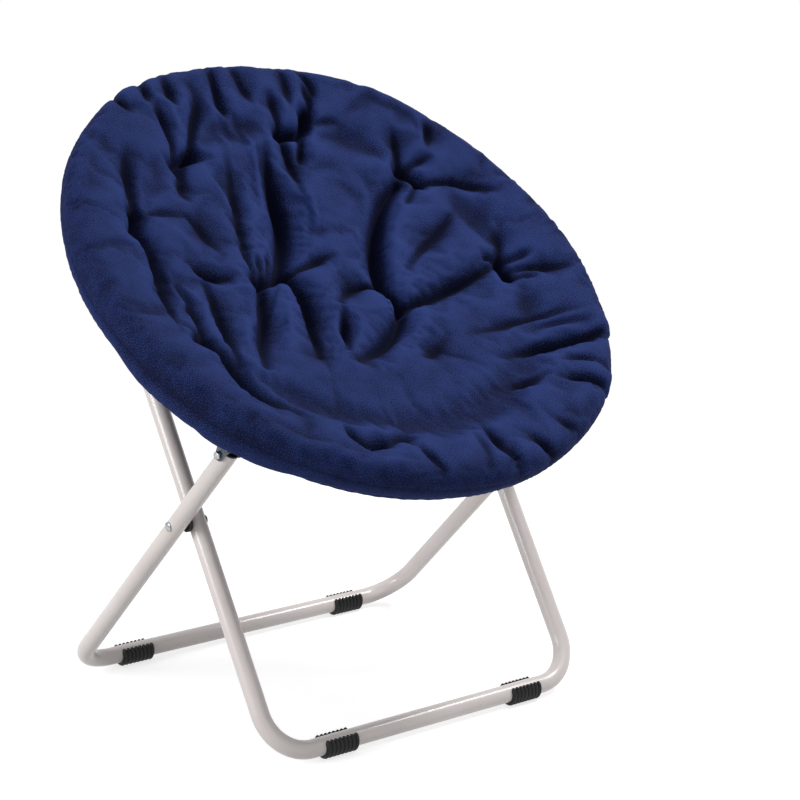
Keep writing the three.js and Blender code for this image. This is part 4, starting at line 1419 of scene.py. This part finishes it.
def twill(name, dark, light, sheen):
    """Colour from speckle and patches, lighter on crests and darker in hollows and creases as painted light
    and shade; height from slanting ribs and speckle.
    """
    finish, shader = new_finish(name, Roughness=0.86, Specular_IOR_Level=0.1, Sheen_Weight=sheen)
    shader.inputs["Sheen Roughness"].default_value = 0.5
    shader.inputs["Sheen Tint"].default_value = to_linear(70, 95, 215)
    cloth = stretched_coords(finish, (1, 1, 1), "UV")
    speckle = noise(finish, cloth, 700, 1)
    patches = noise(finish, cloth, 40, 3)
    mixed = add_node(finish, "ShaderNodeMath", {0: patches, 1: 0.2, 2: speckle}, operation="MULTIPLY_ADD")
    weave = between(finish, mixed.outputs[0], -0.25, 0.99)
    crest = add_node(finish, "ShaderNodeAttribute", attribute_name="crest").outputs["Fac"]
    # painted light on crests and painted shade in hollows
    tone = add_node(finish, "ShaderNodeMath", {0: crest, 1: crest_shading_share, 2: weave}, operation="MULTIPLY_ADD")
    cloth_colour = blend_colours(finish, tone.outputs[0], dark, light)
    crease = add_node(finish, "ShaderNodeAttribute", attribute_name="crease").outputs["Fac"]
    # painted shade in the creases and along the rim seam
    colours = {"Factor": crease, "A": cloth_colour, "B": crease_shade_colour}
    shaded = add_node(finish, "ShaderNodeMix", colours, data_type="RGBA")
    link(finish, shaded.outputs["Result"], shader, "Base Color")
    link(finish, between(finish, speckle, 0.75, 0.95), shader, "Roughness")
    waves = {"Vector": cloth, "Scale": 260, "Distortion": 0.6}
    ribs = add_node(finish, "ShaderNodeTexWave", waves, bands_direction="DIAGONAL")
    first = bump(finish, shader, ribs.outputs["Fac"], 0.00025, rib_strength)
    bump(finish, shader, speckle, 0.0004, speckle_strength, first)
    return finish


seat_twill = twill("seat_twill", to_linear(6, 10, 36), to_linear(45, 62, 120), 0.06)
lining = twill("sling_lining", to_linear(10, 15, 44), to_linear(28, 37, 78), 0.04)
print("cloth finishes:", seat_twill.name, "and", lining.name)

# %% Cloth across the fold line
fold_reach = 80 * mm


def folding_cloth(piece, slot, finish, *nodes):
    """Gives cloth that crosses the fold line its finish, bakes its place into its points and hides the
    frame's nodes that it stands for.
    """
    piece.data.materials.append(finish)
    bend_start = on_ring(0, hinge_s - fold_reach, 0)
    bend_stop = on_ring(0, hinge_s + fold_reach, 0)
    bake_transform(piece)
    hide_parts(*nodes)


folding_cloth(cushion, "seat_twill", seat_twill, "seat_cushion")
print("the cloth bends over a width of", round(2 * fold_reach / mm), "mm")

# %% [markdown]
# ## Sling and sleeves
# Under the padding a plain cloth is stretched inside the ring like a shallow drum. Its edge is sewn into
# sleeves round the ring tube, one on each half, with a slit where a bracket comes through. A plane with a
# Solidify modifier would do for the sling. As a closed skin of rows it can also have a hem, puckers at its
# edge and small pits where the tufts are sewn through, and a sleeve is the same kind of skin.

# %% Sling
sling_thickness = 2 * mm
sling_rows = 90
sling_edge = 0.4 * mm
pucker_depth = 3 * mm
pucker_reach = 16 * mm
star_share, star_points = 0.35, 9
edge_pucker, edge_puckers, edge_pucker_fade = 0.9 * mm, 74, 22 * mm
hem_inset, hem_height, hem_width = 9 * mm, 0.7 * mm, 2.2 * mm
tuft_places = [(278, -6), (278, 37), (278, 77), (278, 120), (278, 160), (278, 198), (278, 249), (278, 302)]
tuft_places += [(97, 155), (97, -30), (130, 243)]
tufts = np.array([[r * mm * cos(radians(angle)), r * mm * sin(radians(angle))] for r, angle in tuft_places])


def sling_grid(columns=240):
    """Rows over the top from the middle to the edge, round the hem and back along the underside.
    Height = bowl - thickness below + pull at the tufts, hem and puckers at the edge, all on the underside."""
    angles = turns(columns)
    out = np.linspace(0.01, 1, sling_rows)
    r = np.concatenate([out, [1], out[::-1]]) * sling_radius
    below = np.concatenate([np.zeros(sling_rows), [0.5], np.ones(sling_rows)])[:, None]
    r[[sling_rows - 1, sling_rows + 1]] -= sling_edge
    x, s = r[:, None] * np.cos(angles), r[:, None] * np.sin(angles)
    away = np.hypot(x[..., None] - tufts[:, 0], s[..., None] - tufts[:, 1])
    pull = pucker_depth * np.exp(-away / pucker_reach).max(axis=-1)
    star = star_share * pull * np.cos(star_points * np.arctan2(s - tufts[0, 1], x - tufts[0, 0]))
    from_edge = (sling_radius - r)[:, None]
    edge_wave = np.sin(edge_puckers * angles + np.sin(5 * angles))
    puckers = edge_pucker * edge_wave * np.exp(-from_edge / edge_pucker_fade)
    hem = hem_height * np.exp(-(((from_edge - hem_inset) / hem_width) ** 2))
    n = sling_top(r)[:, None] - below * (sling_thickness - pull * 0.6 - hem)
    return on_ring(x, s, n + np.minimum((puckers + star) * np.minimum(1, from_edge / (3 * mm)), 0) * below)


sling = skin("seat_sling_stretched", sling_grid())
folding_cloth(sling, "sling_lining", lining, "seat_sling")
print("sling drawn in at", len(tufts), "tufts")

# %% Sleeves
sleeve_bore = ring_tube_radius + running_gap
sleeve_outside = sleeve_bore + sling_thickness
sleeve_hinge_cut = 26 * mm
slit_reach = 21 * mm
slit_half_angle = radians(46)
slit_fade = 3 * mm
sleeve_lap = radians(0.8)
sleeve_crease = 0.45 * mm
sleeve_lip_thin = 0.9 * mm
weave_radius = 12 * mm
outer_columns, inner_columns = 45, 23


def sleeve(half, body, joint, leg_x):
    """A C-shaped section along the ring: nearly closed below the tube, cut open where a bracket passes.
    Radius = outside + crease * waves along and round the ring, thinner at both lips."""
    angles, line, across = ring_stations(ring_arcs[half], sleeve_hinge_cut, 420)
    bolt_angles = [atan2(bolt_place(joint), side * leg_x) for side in sides.values()]
    apart = [np.abs((angles - angle + pi) % (2 * pi) - pi) * ring_radius for angle in bolt_angles]
    near = 1 - eased((np.minimum(*apart) - slit_reach) / slit_fade)
    lip = pi - sleeve_lap - (slit_half_angle - sleeve_lap) * near
    share = np.linspace(-1, 1, outer_columns)[None, :]
    outer = lip[:, None] * share
    inner = lip[:, None] * np.linspace(0.99, -0.99, inner_columns)[None, :]
    creases = np.sin(95 * angles[:, None] + 2 * share) * np.sin(37 * angles[:, None] + 1.3)
    lip_round = (1 - share**16) ** 0.5
    outer_radius = sleeve_outside - 0.5 * mm + sleeve_crease * creases - sleeve_lip_thin * (1 - lip_round)
    radius = np.hstack([outer_radius, np.full((len(angles), inner_columns), sleeve_bore)])
    turn = np.hstack([outer, inner])[..., None]
    grid = line[:, None] + radius[..., None] * (np.sin(turn) * across[:, None] + np.cos(turn) * square)
    piece = skin(f"ring_sleeve_{half}_sewn", grid)
    along_tube = np.broadcast_to(angles[:, None] * ring_radius, turn.shape[:2])
    lay_out(piece, np.stack([along_tube, turn[..., 0] * weave_radius], axis=-1))
    dress(piece, body, "seat_twill", seat_twill, f"ring_sleeve_{half}")


# %% Both sleeves
for half, (joint, body, leg_x) in fixings.items():
    sleeve(half, body, joint, leg_x)

# %% [markdown]
# ## Light and floor
# The chair stands on a white sweep under soft lamps. The key lamp, from the upper right, shapes the folds,
# a low lamp from the left draws the highlights along the tubes, and a weak one near the camera fills the
# shade. A studio panorama would light the chair as softly, but a lamp can be moved until one fold looks
# right. The world is a plain grey for the chair and white for the camera, and the floor adds a little white
# of its own for the camera only, so that it stays white where it is lit and keeps the chair's soft shadow.

# %% World
scene = bpy.context.scene
scene.view_settings.view_transform = "Standard"
world = bpy.data.worlds.new("studio")
world.use_nodes = True
scene.world = world


def seen_directly(owner):
    """1 for camera, mirror and glass rays, 0 for rays that light the chair: the greatest of three flags."""
    flags = add_node(owner, "ShaderNodeLightPath").outputs
    greatest = flags["Is Camera Ray"]
    for name in ("Is Glossy Ray", "Is Transmission Ray"):
        pair = {0: greatest, 1: flags[name]}
        greatest = add_node(owner, "ShaderNodeMath", pair, operation="MAXIMUM").outputs[0]
    return greatest


world_light = 0.33
background = world.node_tree.nodes["Background"]
background.inputs["Color"].default_value = (1, 1, 1, 1)
link(world, between(world, seen_directly(world), world_light, 1.0), background, "Strength")
print("world light on the chair:", world_light)

# %% Lamps
lamp_aim = np.array([0.0, 0.0, 0.45])


def soft_lamp(name, place, width, power):
    """A square area lamp that faces the middle of the chair."""
    light = bpy.data.lights.new(name, "AREA")
    light.size = width
    light.energy = power
    lamp = bpy.data.objects.new(name, light)
    away = np.array(place) - lamp_aim
    lamp.location = place
    lamp.rotation_euler = (atan2(hypot(away[0], away[1]), away[2]), 0, atan2(away[0], -away[1]))
    scene.collection.objects.link(lamp)
    print(name, "of", power, "W,", width, "m wide")


soft_lamp("key_lamp", (1.8, -0.6, 2.9), 0.8, 58)
soft_lamp("front_lamp", (-0.6, -2.9, 1.4), 1.4, 8)
soft_lamp("left_lamp", (-2.6, 0.3, 1.1), 1.1, 38)

# %% Floor
floor_half = 6.0
floor_mesh = bpy.data.meshes.new("floor")
floor_signs = ((-1, -1), (1, -1), (1, 1), (-1, 1))
floor_mesh.from_pydata([(x * floor_half, y * floor_half, 0) for x, y in floor_signs], [], [(0, 1, 2, 3)])
floor = bpy.data.objects.new("floor", floor_mesh)
scene.collection.objects.link(floor)


def floor_finish():
    """White that scatters light, and white that only the camera sees, more of it further from the chair."""
    finish, shader = new_finish("white_floor", Roughness=0.9, Specular_IOR_Level=0.1)
    coords = add_node(finish, "ShaderNodeTexCoord").outputs["Object"]
    distance = add_node(finish, "ShaderNodeVectorMath", {0: coords}, operation="LENGTH").outputs["Value"]
    span = {"Value": distance, "From Min": 0.7, "From Max": 2.4}
    far = add_node(finish, "ShaderNodeMapRange", span, interpolation_type="SMOOTHSTEP").outputs["Result"]
    shade = between(finish, far, 0.6, 0.0)
    grey = add_node(finish, "ShaderNodeCombineColor", {"Red": shade, "Green": shade, "Blue": shade})
    link(finish, grey.outputs["Color"], shader, "Base Color")
    factors = {0: seen_directly(finish), 1: between(finish, far, 0.72, 1.0)}
    seen = add_node(finish, "ShaderNodeMath", factors, operation="MULTIPLY")
    shader.inputs["Emission Color"].default_value = (1, 1, 1, 1)
    link(finish, seen.outputs[0], shader, "Emission Strength")
    return finish


floor.data.materials.append(floor_finish())
print("floor", 2 * floor_half, "m wide")
